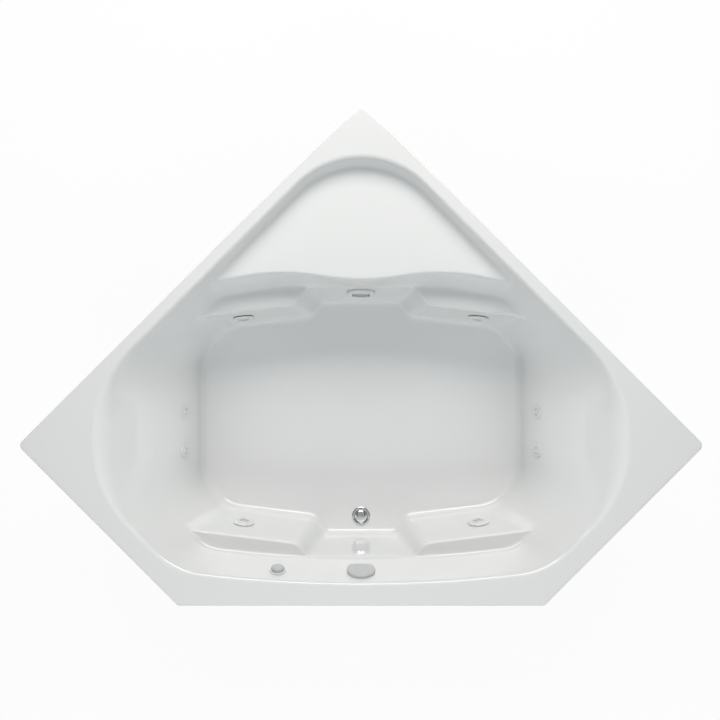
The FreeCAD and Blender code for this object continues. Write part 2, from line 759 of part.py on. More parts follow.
def bent_rod(points, bend, radius):
    """A solid rod of one radius along a bent path."""
    path = bent_path(points, bend)
    start = points[0]
    ring = Part.Wire(Part.makeCircle(radius, start, points[1] - start))
    return path.makePipeShell([ring], True, False)


# ---------------------------------------------------------------------------
# Places on the walls of the well
# ---------------------------------------------------------------------------

def facing_water(point, out_x, out_y, slope):
    """A place on a wall: its Z axis points into the water, its Y axis up the wall.

    out_x and out_y point out of the well in plan, and slope is how far the
    wall moves in for each millimetre of depth.
    """
    tilt = math.atan(slope)
    into = Vector(-out_x * math.cos(tilt), -out_y * math.cos(tilt), math.sin(tilt))
    side = Vector(0, 0, 1).cross(into).normalize()
    upward = into.cross(side)
    return Placement(point, Rotation(side, upward, into, "ZXY"))


def on_plane_wall(walls_at, index, depth, x=None, y=None, mirrored=False):
    """A place on a straight wall of the well, at a given x or y."""
    wall = walls_at(depth)[index]
    deeper = walls_at(depth + 1.0)[index]
    slope = wall.distance - deeper.distance
    if y is None:
        y = (wall.distance - wall.nx * x) / wall.ny
    else:
        x = (wall.distance - wall.ny * y) / wall.nx
    side = -1.0 if mirrored else 1.0
    point = Vector(side * x, y, V.rim_height - depth)
    return facing_water(point, side * wall.nx, wall.ny, slope)


def on_front_bow(x, depth):
    """A place on the bowed front wall above the armrests."""
    radius = bow_round(depth)
    wall = front_wall(depth)
    centre_y = wall.meet(wall.mirrored()).y + radius / math.cos(math.radians(V.front_bow))
    y = centre_y - math.sqrt(radius ** 2 - x ** 2)
    slope = V.ledge_front_inset / V.ledge_depth
    on_wall = facing_water(Vector(x, y, V.rim_height - depth), x / radius, (y - centre_y) / radius, slope)
    return on_wall.multiply(Placement(Vector(0, 0, V.bow_gap), Rotation()))


FRONT_ARM, BACKREST, BACK_ARM, BACK_BAY = 2, 4, 6, 8  # places in lower_walls' list
JET_PLACES = [on_plane_wall(lower_walls, index, WELL_DEPTH - V.jet_rise, x=V.jet_out, mirrored=mirrored)
              for index in (BACK_ARM, FRONT_ARM) for mirrored in (True, False)]
BACK_JET_PLACES = [on_plane_wall(lower_walls, BACKREST, WELL_DEPTH - V.back_jet_rise, y=y, mirrored=mirrored)
                   for y in (V.back_jet_back, V.back_jet_front) for mirrored in (True, False)]
SUCTION_PLACE = on_plane_wall(lower_walls, BACK_BAY, WELL_DEPTH - V.suction_rise, x=0.0)
OVERFLOW_PLACE = on_front_bow(0.0, V.overflow_depth)
AIR_PLACE = on_front_bow(V.air_x, V.air_depth)
DRAIN_PLACE = at(0, V.drain_y, V.floor_height)


def holed(shape, places, radius):
    """A shape with a round hole through the wall at each place."""
    through = 4 * V.skin
    drills = []
    for place in places:
        drill = Part.makeCylinder(radius, 2 * through, Vector(0, 0, -through))
        drill.Placement = place
        drills.append(drill)
    return shape.cut(drills)


# ---------------------------------------------------------------------------
# Shell and what holds it up
# ---------------------------------------------------------------------------

def make_bath_shell():
    shape = holed(bath_blank(), JET_PLACES, V.jet_hole)
    shape = holed(shape, BACK_JET_PLACES, V.back_jet_hole)
    shape = holed(shape, [SUCTION_PLACE], V.suction_hole)
    shape = holed(shape, [OVERFLOW_PLACE], V.overflow_hole)
    shape = holed(shape, [AIR_PLACE], V.air_hole)
    shape = holed(shape, [DRAIN_PLACE], V.drain_hole)
    keep(fixed("BathShell", shape), "bath_shell")


BOARD_TOP = V.floor_height - V.skin
BOARD_UNDER = BOARD_TOP - V.board_thick


def make_supports():
    board = Part.Face(outline(*both_halves(lower_walls(WELL_DEPTH), [V.bay_round] * 8),
                              BOARD_UNDER, -V.board_inset))
    board = board.extrude(Vector(0, 0, V.board_thick))
    notch_radius = V.drain_flange + V.fitting_wall
    notch = Part.makeCylinder(notch_radius, V.board_thick, Vector(0, V.drain_y, BOARD_UNDER))
    mouth = Part.makeBox(2 * notch_radius, HALF_WIDTH, V.board_thick,
                         Vector(-notch_radius, V.drain_y - HALF_WIDTH, BOARD_UNDER))
    keep(fixed("FloorBoard", board.cut([notch, mouth])), "floor_board")

    foot = new_body("Foot")
    sketch = sketch_on(foot, XZ)
    half = S.foot_width / 2
    height = S.floor_height - S.skin - S.board_thick
    draw_polygon(sketch, [(-half + S.foot_taper, 0), (half - S.foot_taper, 0), (half, height), (-half, height)])
    pad(foot, sketch, S.foot_length).Midplane = True
    rows = [V.foot_back, V.foot_front]
    places = [at(x, y, 0) for y in rows for x in (-V.foot_out, 0.0, V.foot_out)]
    group("support_feet", foot, places)

    under = V.rim_height - V.skin - V.stiffener_thick
    inside = Part.Face(deck_ring(under, -V.skin - V.stiffener_gap)).extrude(Vector(0, 0, V.stiffener_thick))
    tips = []
    for side in (-1.0, 1.0):
        slab = Part.makeBox(HALF_WIDTH, 2 * DECK_DEPTH, V.stiffener_thick,
                            Vector(V.stiffener_start if side > 0 else -V.stiffener_start - HALF_WIDTH,
                                   -DECK_DEPTH, under))
        tips.append(inside.common(slab))
    strip = Part.makeBox(2 * V.front_strip_half, V.front_strip_width, V.stiffener_thick,
                         Vector(-V.front_strip_half, FRONT_Y + V.skin + V.stiffener_gap, under))
    keep(fixed("DeckStiffeners", Part.makeCompound(tips + [strip])), "deck_stiffeners")


# ---------------------------------------------------------------------------
# Drain, overflow and waste
# ---------------------------------------------------------------------------

SHOE_Z = V.waste_height
FLOOR_Z = V.floor_height
TUBE_BORE = V.tube_radius - V.tube_wall
SOCKET = V.tube_radius + V.seat_gap
FITTING = SOCKET + V.fitting_wall


def make_drain():
    throat = S.drain_throat
    tube = S.drain_hole - S.slide_gap
    flange = turned("DrainFlange", [
        (throat, -S.drain_reach), (tube, -S.drain_reach), (tube, S.seat_gap),
        (S.drain_flange, S.seat_gap), (S.drain_flange - 0.5, S.drain_rise - 1.2),
        (S.drain_flange - 5, S.drain_rise), (S.stopper_radius + 4, S.drain_rise),
        (S.stopper_radius + 0.8, S.drain_rise - 2), (S.stopper_radius + 0.8, -4), (throat, -7)])
    flange.Placement = DRAIN_PLACE
    keep(flange, "drain_flange")

    cup = S.stopper_radius
    stopper = turned("DrainStopper", [
        (0, -S.stopper_stem), (S.stem_radius, -S.stopper_stem), (S.stem_radius, -2.5), (cup - 3, -2.5), (cup, -1), (cup, 2),
        (cup - 1.5, 4.2), (cup - 6, 6.2), (cup * 0.45, 7.8), (0, 8.4)])
    stopper.Placement = DRAIN_PLACE
    keep(stopper, "drain_stopper")

    gasket = turned("DrainGasket", [
        (S.drain_hole + 0.5, -S.skin - S.washer), (S.drain_flange, -S.skin - S.washer),
        (S.drain_flange, -S.skin), (S.drain_hole + 0.5, -S.skin)])
    gasket.Placement = DRAIN_PLACE
    keep(gasket, "drain_gasket")

    cup_top = FLOOR_Z - V.skin - V.washer
    bore = V.drain_hole - V.slide_gap + V.seat_gap
    outer = bore + V.fitting_wall
    bottom = SHOE_Z - FITTING
    shoe = Part.makeCylinder(outer, cup_top - bottom, Vector(0, 0, bottom))
    shoe = shoe.fuse(Part.makeCylinder(V.drain_flange, V.fitting_wall, Vector(0, 0, cup_top - V.fitting_wall)))
    shoe = shoe.fuse(rod(FITTING, Vector(0, 0, SHOE_Z), Vector(0, -V.shoe_reach, SHOE_Z)))
    shoe = shoe.cut([Part.makeCylinder(bore, cup_top, Vector(0, 0, bottom + V.fitting_wall)),
                     rod(TUBE_BORE, Vector(0, 0, SHOE_Z), Vector(0, -V.shoe_reach, SHOE_Z)),
                     rod(SOCKET, Vector(0, -outer, SHOE_Z), Vector(0, -V.shoe_reach, SHOE_Z))])
    cross = rod(2.2, Vector(-bore, 0, FLOOR_Z - V.drain_reach - 4), Vector(bore, 0, FLOOR_Z - V.drain_reach - 4))
    guide = Part.makeCylinder(8, 10, Vector(0, 0, FLOOR_Z - V.drain_reach - 9))
    pin_way = Part.makeCylinder(V.stem_radius + V.slide_gap, 40, Vector(0, 0, FLOOR_Z - V.drain_reach - 20))
    shoe = shoe.fuse([cross.fuse(guide).cut(pin_way)])
    keep(fixed("DrainShoe", shoe, at(0, V.drain_y, 0)), "drain_shoe")


def make_waste():
    shoe_end = V.drain_y - V.shoe_reach
    tee_end = V.waste_y + V.tee_reach
    grip = V.tube_radius

    def tube(start, end):
        return rod(V.tube_radius, start, end).cut(rod(TUBE_BORE, start, end))

    low = Vector(0, shoe_end + grip, SHOE_Z)
    keep(fixed("WastePipe", tube(low, Vector(0, tee_end - grip / 2, SHOE_Z))), "waste_pipe")

    axis = Vector(0, V.waste_y, SHOE_Z)
    up = Vector(0, 0, V.tee_rise)
    down = Vector(0, 0, -FITTING)
    branch = Vector(0, V.tee_reach, 0)
    stop = V.tube_radius
    tee = rod(FITTING, axis + down, axis + up).fuse(rod(FITTING, axis, axis + branch))
    tee = tee.cut([rod(TUBE_BORE, axis + down, axis + up), rod(TUBE_BORE, axis, axis + branch),
                   rod(SOCKET, axis + up * 0.5, axis + up), rod(SOCKET, axis + branch * 0.6, axis + branch),
                   rod(SOCKET, axis + down, axis + down * 0.4)])
    keep(fixed("WasteTee", tee), "waste_tee")

    elbow_end = V.rim_height - V.overflow_depth - V.overflow_drop
    foot = Vector(0, V.waste_y, SHOE_Z + V.tee_rise * 0.55)
    head = Vector(0, V.waste_y, elbow_end + stop * 0.7)
    keep(fixed("OverflowPipe", tube(foot, head)), "overflow_pipe")
    tail_top = Vector(0, V.waste_y, SHOE_Z - FITTING * 0.45)
    outlet = Vector(0, V.waste_y, 0)
    bead = rod(V.tube_radius + V.tail_bead, outlet + Vector(0, 0, V.tail_length),
               axis + down - Vector(0, 0, V.seat_gap))
    tail = rod(V.tube_radius, outlet, tail_top).fuse(bead).cut(rod(TUBE_BORE, outlet, tail_top))
    keep(fixed("TailPipe", tail), "tail_pipe")

    nut = turned("SlipNut", [
        (S.tube_radius + S.seat_gap, 0), (S.tube_radius + S.seat_gap + S.nut_wall + 3, 0),
        (S.tube_radius + S.seat_gap + S.nut_wall + 3, S.nut_length * 0.7),
        (S.tube_radius + S.seat_gap + S.nut_wall, S.nut_length), (S.tube_radius + S.seat_gap, S.nut_length)])
    toward_front = Rotation(Vector(0, 0, 1), Vector(0, -1, 0))
    toward_back = Rotation(Vector(0, 0, 1), Vector(0, 1, 0))
    downward = Rotation(Vector(1, 0, 0), 180)
    group("slip_nuts", nut, [
        Placement(Vector(0, shoe_end, SHOE_Z), toward_front),
        Placement(Vector(0, tee_end, SHOE_Z), toward_back),
        at(0, V.waste_y, SHOE_Z + V.tee_rise),
        Placement(Vector(0, V.waste_y, elbow_end), downward)])


def make_overflow():
    z = V.rim_height - V.overflow_depth
    face = OVERFLOW_PLACE.Base.y - V.skin - V.overflow_hole * V.ledge_front_inset / V.ledge_depth - V.washer * 3
    radius = V.overflow_hole + V.fitting_wall
    washer = rod(radius, Vector(0, face, z), Vector(0, face + 8 * V.washer, z))
    washer = washer.cut(rod(V.overflow_hole - 3, Vector(0, face, z), Vector(0, face + 8 * V.washer, z)))
    in_front = Part.makeBox(200, 200, 200, Vector(-100, -100, -V.skin - V.bow_nut_gap))
    in_front.Placement = OVERFLOW_PLACE
    washer = washer.cut(in_front)
    keep(fixed("OverflowGasket", washer), "overflow_gasket")

    axis = Vector(0, V.waste_y, z)
    mouth = Vector(0, face, z)
    lower_end = Vector(0, V.waste_y, z - V.overflow_drop)
    elbow = rod(FITTING, mouth, axis).fuse([rod(radius, mouth, mouth - Vector(0, V.fitting_wall, 0)),
                                            rod(FITTING, axis, lower_end), Part.makeSphere(FITTING, axis)])
    elbow = elbow.cut([rod(TUBE_BORE, mouth, axis), rod(TUBE_BORE, axis, lower_end),
                       rod(SOCKET, lower_end + Vector(0, 0, V.tube_radius), lower_end),
                       Part.makeSphere(TUBE_BORE, axis)])
    keep(fixed("OverflowElbow", elbow), "overflow_elbow")

    half = S.overflow_half_width
    proud = S.overflow_proud
    inside = proud - S.cover_wall
    cover = turned("OverflowCover", [
        (half - S.cover_wall, S.seat_gap), (half, S.seat_gap), (half, proud - S.cover_round),
        (half - S.cover_round * 0.3, proud - S.cover_round * 0.3), (half - S.cover_round, proud),
        (0, proud), (0, inside), (half - S.cover_round, inside), (half - S.cover_wall, inside - 2)])
    flat = sketch_on(cover, XY, proud + 1)
    draw_polygon(flat, [(-half - 1, -half - 1), (half + 1, -half - 1),
                        (half + 1, -S.overflow_foot), (-half - 1, -S.overflow_foot)])
    pocket(cover, flat, proud + 2)
    cover.Placement = OVERFLOW_PLACE
    keep(cover, "overflow_cover")


# ---------------------------------------------------------------------------
# Suction fitting and pump
# ---------------------------------------------------------------------------

SUCTION_Y = SUCTION_PLACE.Base.y + V.skin + V.suction_elbow
SUCTION_Z = V.floor_height + V.suction_rise
HOSE_BORE = V.hose_radius - V.hose_wall
HOSE_SOCKET = V.hose_radius + V.seat_gap
HOSE_FITTING = HOSE_SOCKET + V.fitting_wall
ALONG_PUMP = Rotation(Vector(0, 0, 1), Vector(0, 1, 0))  # local Z along +Y, the way to the motor
PUMP_PLACE = Placement(Vector(0, V.pump_y, V.pump_height), ALONG_PUMP)


def make_suction():
    tube = V.suction_hole - V.slide_gap
    wall_y = SUCTION_PLACE.Base.y
    body = Part.makeCylinder(V.suction_radius - 5, 4 - V.seat_gap, Vector(0, 0, V.seat_gap))
    body = body.fuse(Part.makeCylinder(tube, V.skin + 18, Vector(0, 0, V.seat_gap - V.skin - 18)))
    body.Placement = SUCTION_PLACE
    axis = Vector(0, SUCTION_Y, SUCTION_Z)
    lower_end = axis - Vector(0, 0, HOSE_FITTING + 14)
    start = Vector(0, wall_y + V.skin + 17, SUCTION_Z)
    body = body.fuse([rod(HOSE_FITTING, start, axis), Part.makeSphere(HOSE_FITTING, axis),
                      rod(HOSE_FITTING, axis, lower_end)])
    inner = Part.makeCylinder(HOSE_BORE - 3, V.skin + 24, Vector(0, 0, -V.skin - 19))
    inner.Placement = SUCTION_PLACE
    body = body.cut([inner, rod(HOSE_BORE - 3, start - Vector(0, 3, 0), axis), Part.makeSphere(HOSE_BORE - 3, axis),
                     rod(HOSE_BORE - 3, axis, lower_end),
                     rod(HOSE_SOCKET, lower_end + Vector(0, 0, 18), lower_end)])
    keep(fixed("SuctionBody", body), "suction_body")

    nut = turned("SuctionNut", [
        (S.suction_hole + S.seat_gap, -S.skin - 12), (S.suction_hole + 12, -S.skin - 12),
        (S.suction_hole + 14, -S.skin - 4), (S.suction_hole + 14, -S.skin - S.slide_gap),
        (S.suction_hole + S.seat_gap, -S.skin - S.slide_gap)])
    nut.Placement = SUCTION_PLACE
    keep(nut, "suction_nut")

    cover = turned("SuctionCover", [
        (S.suction_radius - 5 + S.slide_gap, S.seat_gap), (S.suction_radius, S.seat_gap),
        (S.suction_radius, 6), (S.suction_radius - 4, 11), (S.suction_radius - 14, S.suction_proud - 1.5),
        (0, S.suction_proud), (0, S.suction_proud - S.cover_wall),
        (S.suction_radius - 15, S.suction_proud - S.cover_wall - 1.5),
        (S.suction_radius - 5 + S.slide_gap, 9)])
    slot = sketch_on(cover, XY, S.suction_proud + 5)
    half_width = S.suction_slot_width / 2
    start = -S.suction_slot_pitch * (S.suction_slots - 1) / 2
    half_length = S.suction_radius * 0.52
    draw_polygon(slot, [(start - half_width, -half_length), (start + half_width, -half_length),
                        (start + half_width, half_length), (start - half_width, half_length)])
    cut = pocket(cover, slot, S.suction_proud)
    row = cover.newObject("PartDesign::LinearPattern", "SuctionSlots")
    row.Originals = [cut]
    axis_x = next(item for item in cover.Origin.OriginFeatures if item.Role == "X_Axis")
    row.Direction = (axis_x, [""])
    row.Length = V.suction_slot_pitch * (V.suction_slots - 1)
    row.setExpression("Length", (S.suction_slot_pitch * (S.suction_slots - 1)).text)
    row.setExpression("Occurrences", S.suction_slots.text)
    cover.Tip = row
    cover.Placement = SUCTION_PLACE
    keep(cover, "suction_cover")

    top = lower_end + Vector(0, 0, 15)
    corner = Vector(0, SUCTION_Y, V.pump_height)
    inlet = Vector(0, V.pump_y - V.inlet_length + 12, V.pump_height)
    route = [top, corner, inlet]
    pipe = bent_rod(route, V.hose_bend, V.hose_radius).cut(bent_rod(route, V.hose_bend, HOSE_BORE))
    keep(fixed("SuctionPipe", pipe), "suction_pipe")


def make_pump():
    radius = S.volute_radius
    length = S.volute_length
    wall = S.volute_wall
    inlet = HOSE_SOCKET
    neck = S.hose_radius + S.seat_gap + S.port_wall
    casing = turned("PumpVolute", [
        (S.hose_radius + S.seat_gap, -S.inlet_length), (neck, -S.inlet_length), (neck, 0),
        (radius - 14, 0), (radius, 10), (radius, length), (radius - wall, length),
        (radius - wall, wall), (S.hose_radius + S.seat_gap, wall)])
    doc.recompute()
    way_out = V.volute_radius - V.volute_wall - V.water_radius
    middle = V.volute_length / 2 + 3
    bore = V.water_radius - V.line_wall
    socket = V.water_radius + V.seat_gap
    outer = socket + V.port_wall
    port_z = Vector(-1, 0, 0)
    start = Vector(0, -way_out, middle)
    end = start + port_z * V.outlet_reach
    shape = casing.Shape.fuse(rod(outer, start, end))
    cavity = Part.makeCylinder(V.volute_radius - V.volute_wall, V.volute_length - V.volute_wall,
                               Vector(0, 0, V.volute_wall))
    shape = shape.cut([cavity, rod(bore, start, end), rod(socket, end - port_z * 20, end)])
    keep(fixed("PumpVoluteWithOutlet", shape, PUMP_PLACE), "pump_volute")

    plate = turned("SealPlate", [
        (S.shaft_radius + S.turn_gap + 6, length), (radius, length), (radius, length + S.plate_thick),
        (S.shaft_radius + S.turn_gap + 6, length + S.plate_thick)])
    plate.Placement = PUMP_PLACE
    keep(plate, "seal_plate")
    seal = turned("ShaftSeal", [
        (S.shaft_radius + S.turn_gap, length - 4), (S.shaft_radius + 13, length - 4),
        (S.shaft_radius + 13, length - S.seat_gap), (S.shaft_radius + S.turn_gap + 6 - S.seat_gap, length - S.seat_gap),
        (S.shaft_radius + S.turn_gap + 6 - S.seat_gap, length + S.plate_thick - 1),
        (S.shaft_radius + S.turn_gap, length + S.plate_thick - 1)])
    seal.Placement = PUMP_PLACE
    keep(seal, "shaft_seal")

    motor_start = length + S.plate_thick
    motor = turned("MotorHousing", [
        (S.shaft_radius + S.turn_gap, motor_start), (S.motor_radius, motor_start),
        (S.motor_radius, motor_start + 10), (S.motor_radius - S.fin_height, motor_start + 12),
        (S.motor_radius - S.fin_height, motor_start + S.motor_length - 12),
        (S.motor_radius, motor_start + S.motor_length - 10), (S.motor_radius, motor_start + S.motor_length),
        (0, motor_start + S.motor_length), (0, motor_start + 62), (S.shaft_radius + S.turn_gap, motor_start + 62)])
    fin = sketch_on(motor, XY, motor_start + 11)
    fin_half = as_size(2)
    draw_polygon(fin, [(S.motor_radius - S.fin_height - 3, -fin_half), (S.motor_radius - 0.5, -fin_half),
                       (S.motor_radius - 0.5, fin_half), (S.motor_radius - S.fin_height - 3, fin_half)])
    first_fin = pad(motor, fin, S.motor_length - 22)
    polar(motor, first_fin, S.fin_count)
    motor.Placement = PUMP_PLACE
    keep(motor, "pump_motor")

    fan_start = motor_start + S.motor_length
    fan = turned("FanCover", [
        (S.motor_radius - 8, fan_start), (S.motor_radius + 1.5, fan_start),
        (S.motor_radius + 1.5, fan_start + S.fan_length - 8), (S.motor_radius - 7, fan_start + S.fan_length),
        (0, fan_start + S.fan_length), (0, fan_start + S.fan_length - S.cover_wall),
        (S.motor_radius - 8, fan_start + S.fan_length - S.cover_wall - 3)])
    vent = sketch_on(fan, XY, fan_start + S.fan_length + 2)
    draw_polygon(vent, [(14, -2.5), (S.motor_radius - 20, -4), (S.motor_radius - 20, 4), (14, 2.5)])
    polar(fan, pocket(fan, vent, S.fan_length - 6), 10)
    fan.Placement = PUMP_PLACE
    keep(fan, "fan_cover")

    hub = turned("PumpImpeller", [
        (0, wall + 6), (16, wall + 6), (16, length - 14), (S.impeller_radius, length - 10),
        (S.impeller_radius, length - 6), (S.shaft_radius, length - 5),
        (S.shaft_radius, motor_start + 60), (0, motor_start + 60)])
    vane = sketch_on(hub, XY, wall + 6)
    draw_polygon(vane, [(12, -2), (S.impeller_radius - 3, -12), (S.impeller_radius - 1.5, -9), (12, 2)])
    first_vane = pad(hub, vane, length - 12 - wall - 6)
    polar(hub, first_vane, S.impeller_vanes)
    hub.Placement = PUMP_PLACE
    keep(hub, "pump_impeller")

    board = block("PumpBoard", S.pump_board_width, S.pump_board_length, S.pump_board_thick, Vector(0, V.pump_y + V.pump_board_out, 0))
    keep(board, "pump_board")
    pad_piece = block("RubberPad", S.pad_side, S.pad_side, S.pad_thick)
    saddle_y = V.pump_y + V.volute_length + V.plate_thick + V.motor_length / 2
    reach_x = V.saddle_width / 2 - V.pad_side / 2
    reach_y = V.saddle_length / 2 - V.pad_side / 2
    group("pump_pads", pad_piece, [
        at(x - V.pad_side / 2, saddle_y + y - V.pad_side / 2, V.pump_board_thick)
        for x in (-reach_x, reach_x) for y in (-reach_y, reach_y)])
    saddle_base = V.pump_board_thick + V.pad_thick
    cradle_radius = V.motor_radius + V.slide_gap
    saddle_top = V.pump_height - V.motor_radius * 0.62
    saddle = Part.makeBox(V.saddle_width, V.saddle_length, saddle_top - saddle_base,
                          Vector(-V.saddle_width / 2, saddle_y - V.saddle_length / 2, saddle_base))
    hollow = Part.makeBox(V.saddle_width - 2 * V.pad_side, V.saddle_length, V.pump_height,
                          Vector(-V.saddle_width / 2 + V.pad_side, saddle_y - V.saddle_length / 2,
                                 saddle_base + V.port_wall))
    cradle = rod(cradle_radius, Vector(0, saddle_y - V.saddle_length, V.pump_height),
                 Vector(0, saddle_y + V.saddle_length, V.pump_height))
    keep(fixed("PumpSaddle", saddle.cut([hollow, cradle])), "pump_saddle")

    box_base = V.pump_height + V.motor_radius - V.fin_height - 1
    terminal = Part.makeBox(V.box_width, V.box_length, V.box_height,
                            Vector(-V.box_width / 2, saddle_y - V.box_length / 2, box_base))
    upright = [edge for edge in terminal.Edges if edge.BoundBox.ZLength > V.box_height / 2]
    terminal = terminal.makeFillet(5, upright)
    gland_z = box_base + V.box_height * 0.6
    gland_start = Vector(V.box_width / 2 - 1, saddle_y, gland_z)
    terminal = terminal.fuse([rod(11, gland_start, gland_start + Vector(10, 0, 0)),
                              rod(9, gland_start, gland_start + Vector(19, 0, 0))])
    terminal = terminal.cut([rod(V.gland_bore, gland_start, gland_start + Vector(19, 0, 0)),
                             Part.makeCylinder(V.motor_radius + V.seat_gap, 2 * V.box_length,
                                               Vector(0, saddle_y - V.box_length, V.pump_height),
                                               Vector(0, 1, 0))])
    keep(fixed("TerminalBox", terminal), "terminal_box")


# ---------------------------------------------------------------------------
# Jets and air control
# ---------------------------------------------------------------------------

BALL_Z = 3.0  # centre of a jet's ball, in front of the wall
JET_NAMES = ["back_left", "back_right", "front_left", "front_right"]


def ported_body(front, place, sizes):
    """A wall fitting: its turned body, with upright ports, water below and air above."""
    body, length, bore, water_port, setback = sizes
    middle = Vector(0, 0, -setback)
    upward = place.Rotation.inverted().multVec(Vector(0, 0, V.port_reach))
    shape = front.fuse([Part.makeCylinder(body, length - V.skin - 13, Vector(0, 0, -length)),
                        rod(water_port, middle, middle - upward), rod(V.air_port, middle, middle + upward)])
    return shape.cut([Part.makeCylinder(bore, length, Vector(0, 0, -length + V.port_wall)),
                      rod(water_port - V.line_wall, middle, middle - upward),
                      rod(V.air_port - V.line_wall, middle, middle + upward)])


def make_jets():
    tube = V.jet_hole - V.slide_gap
    socket = V.ball_radius + V.slide_gap
    front = Part.makeCylinder(tube, V.skin + 16, Vector(0, 0, -V.skin - 14))
    front = front.fuse(Part.makeCylinder(V.jet_flange, 2.5, Vector(0, 0, 2)))
    body = ported_body(front, JET_PLACES[0], (V.jet_body, V.jet_length, V.jet_bore, V.water_port, V.line_offset))
    body = body.cut([Part.makeCylinder(socket, 40, Vector(0, 0, BALL_Z)),
                     Part.makeSphere(socket, Vector(0, 0, BALL_Z))])
    master = fixed("JetBody", body)
    group("jet_bodies", master, JET_PLACES)

    gasket = turned("JetGasket", [
        (S.jet_hole + 0.5, S.seat_gap), (S.jet_flange, S.seat_gap), (S.jet_flange, 2), (S.jet_hole + 0.5, 2)])
    group("jet_gaskets", gasket, JET_PLACES)

    nut = turned("JetNut", [
        (S.jet_hole + S.seat_gap, -S.skin - 11), (S.jet_hole + 9, -S.skin - 11), (S.jet_hole + 11, -S.skin - 3),
        (S.jet_hole + 11, -S.skin - S.slide_gap), (S.jet_hole + S.seat_gap, -S.skin - S.slide_gap)])
    group("jet_nuts", nut, JET_PLACES)

    base = 4.5 + V.slide_gap
    mouth = S.ball_radius - 0.8
    for name, place in zip(JET_NAMES, JET_PLACES):
        trim = turned("JetTrim_" + name, [
            (S.jet_flange + S.slide_gap, 2.2), (S.jet_trim, 2.2), (S.jet_trim, 4.2), (S.jet_trim - 4, 6.6),
            (S.jet_trim - 9, 7.0), (S.jet_trim - 10, 6.2), (S.jet_trim - 15, 6.4), (S.jet_trim - 16.5, 8.6),
            (mouth + 3, 10.6), (mouth, 10.4), (mouth, 9.4), (S.ball_radius + 0.4, 8.0), (S.ball_radius + 0.4, base),
            (S.jet_flange + S.slide_gap, base)])
        notch = sketch_on(trim, XY, 12)
        draw_polygon(notch, [(S.jet_trim - 2, -4), (S.jet_trim + 3, -6), (S.jet_trim + 3, 6), (S.jet_trim - 2, 4)])
        polar(trim, pocket(trim, notch, 9), 6)
        trim.Placement = place
        keep(trim, "jet_trim_" + name)

        ball = Part.makeSphere(V.ball_radius, Vector(0, 0, BALL_Z))
        flat = V.ball_radius * 0.72
        ball = ball.cut([Part.makeBox(60, 60, 60, Vector(-30, -30, BALL_Z + flat)),
                         Part.makeCylinder(V.ball_bore, 60, Vector(0, 0, BALL_Z - 30)),
                         Part.makeCone(V.ball_bore, V.ball_bore + 3, 3, Vector(0, 0, BALL_Z + flat - 3))])
        keep(fixed("JetBall_" + name, ball, place), "jet_ball_" + name)


def make_back_jets():
    tube = V.back_jet_hole - V.slide_gap
    seat = V.rotor_radius + V.slide_gap
    front = Part.makeCylinder(tube, V.skin + 18, Vector(0, 0, V.seat_gap - V.skin - 18))
    front = front.fuse(Part.makeCylinder(V.back_jet_flange, 3, Vector(0, 0, V.seat_gap)))
    body = ported_body(front, BACK_JET_PLACES[0], (V.back_jet_body, V.back_jet_length, V.back_jet_bore,
                                                 V.back_water_port, V.back_line_offset))
    body = body.cut(Part.makeCylinder(seat, 20, Vector(0, 0, -6 - V.slide_gap)))
    master = fixed("BackJetBody", body)
    group("back_jet_bodies", master, BACK_JET_PLACES)

    nut = turned("BackJetNut", [
        (S.back_jet_hole + S.seat_gap, -S.skin - 12.5), (S.back_jet_hole + 8, -S.skin - 12.5),
        (S.back_jet_hole + 9, -S.skin - S.curve_nut_gap), (S.back_jet_hole + S.seat_gap, -S.skin - S.curve_nut_gap)])
    group("back_jet_nuts", nut, BACK_JET_PLACES)

    for name, place in zip(JET_NAMES, BACK_JET_PLACES):
        rotor = turned("BackJetRotor_" + name, [
            (0, -6), (S.rotor_radius, -6), (S.rotor_radius, 2.6), (S.rotor_radius - 2, 4.2), (0, 4.8)])
        for side in (-1, 1):
            hole = sketch_on(rotor, XY, 6)
            draw_circle(hole, S.rotor_hole, 0, S.rotor_hole_out * side)
            pocket(rotor, hole, 16)
        rotor.Placement = place
        keep(rotor, "back_jet_rotor_" + name)


def make_air_control():
    tube = V.air_hole - V.slide_gap
    middle = Vector(0, 0, -V.air_setback)
    lower_end = middle - AIR_PLACE.Rotation.inverted().multVec(Vector(0, 0, V.port_reach))
    body = Part.makeCylinder(tube, V.skin + 38, Vector(0, 0, V.seat_gap - V.skin - 38))
    body = body.fuse([Part.makeCylinder(V.air_flange, 3, Vector(0, 0, V.seat_gap)),
                      rod(V.air_radius - 1, middle, lower_end)])
    body = body.cut([Part.makeCylinder(8.0, V.skin + 40, Vector(0, 0, -V.skin - 30)),
                     rod(V.air_radius - 3, middle, lower_end),
                     Part.makeCylinder(V.air_flange, 20, Vector(0, 0, 3.4))])
    keep(fixed("AirControlBody", body, AIR_PLACE), "air_control_body")
    nut = turned("AirNut", [
        (S.air_hole + S.seat_gap, -S.skin - 10), (S.air_hole + 8, -S.skin - 10),
        (S.air_hole + 9, -S.skin - S.bow_nut_gap), (S.air_hole + S.seat_gap, -S.skin - S.bow_nut_gap)])
    nut.Placement = AIR_PLACE
    keep(nut, "air_control_nut")
    knob = turned("AirKnob", [
        (0, -20), (7.6, -20), (7.6, 3.8), (S.air_knob, 3.8), (S.air_knob, 11), (S.air_knob - 2, 14),
        (S.air_knob - 7, S.air_knob_proud - 1), (0, S.air_knob_proud)])
    notch = sketch_on(knob, XY, 30)
    draw_polygon(notch, [(S.air_knob - 1.6, -2.5), (S.air_knob + 2, -4), (S.air_knob + 2, 4), (S.air_knob - 1.6, 2.5)])
    polar(knob, pocket(knob, notch, 22), 12)
    knob.Placement = AIR_PLACE
    keep(knob, "air_knob")


# ---------------------------------------------------------------------------
# Water and air lines
# ---------------------------------------------------------------------------

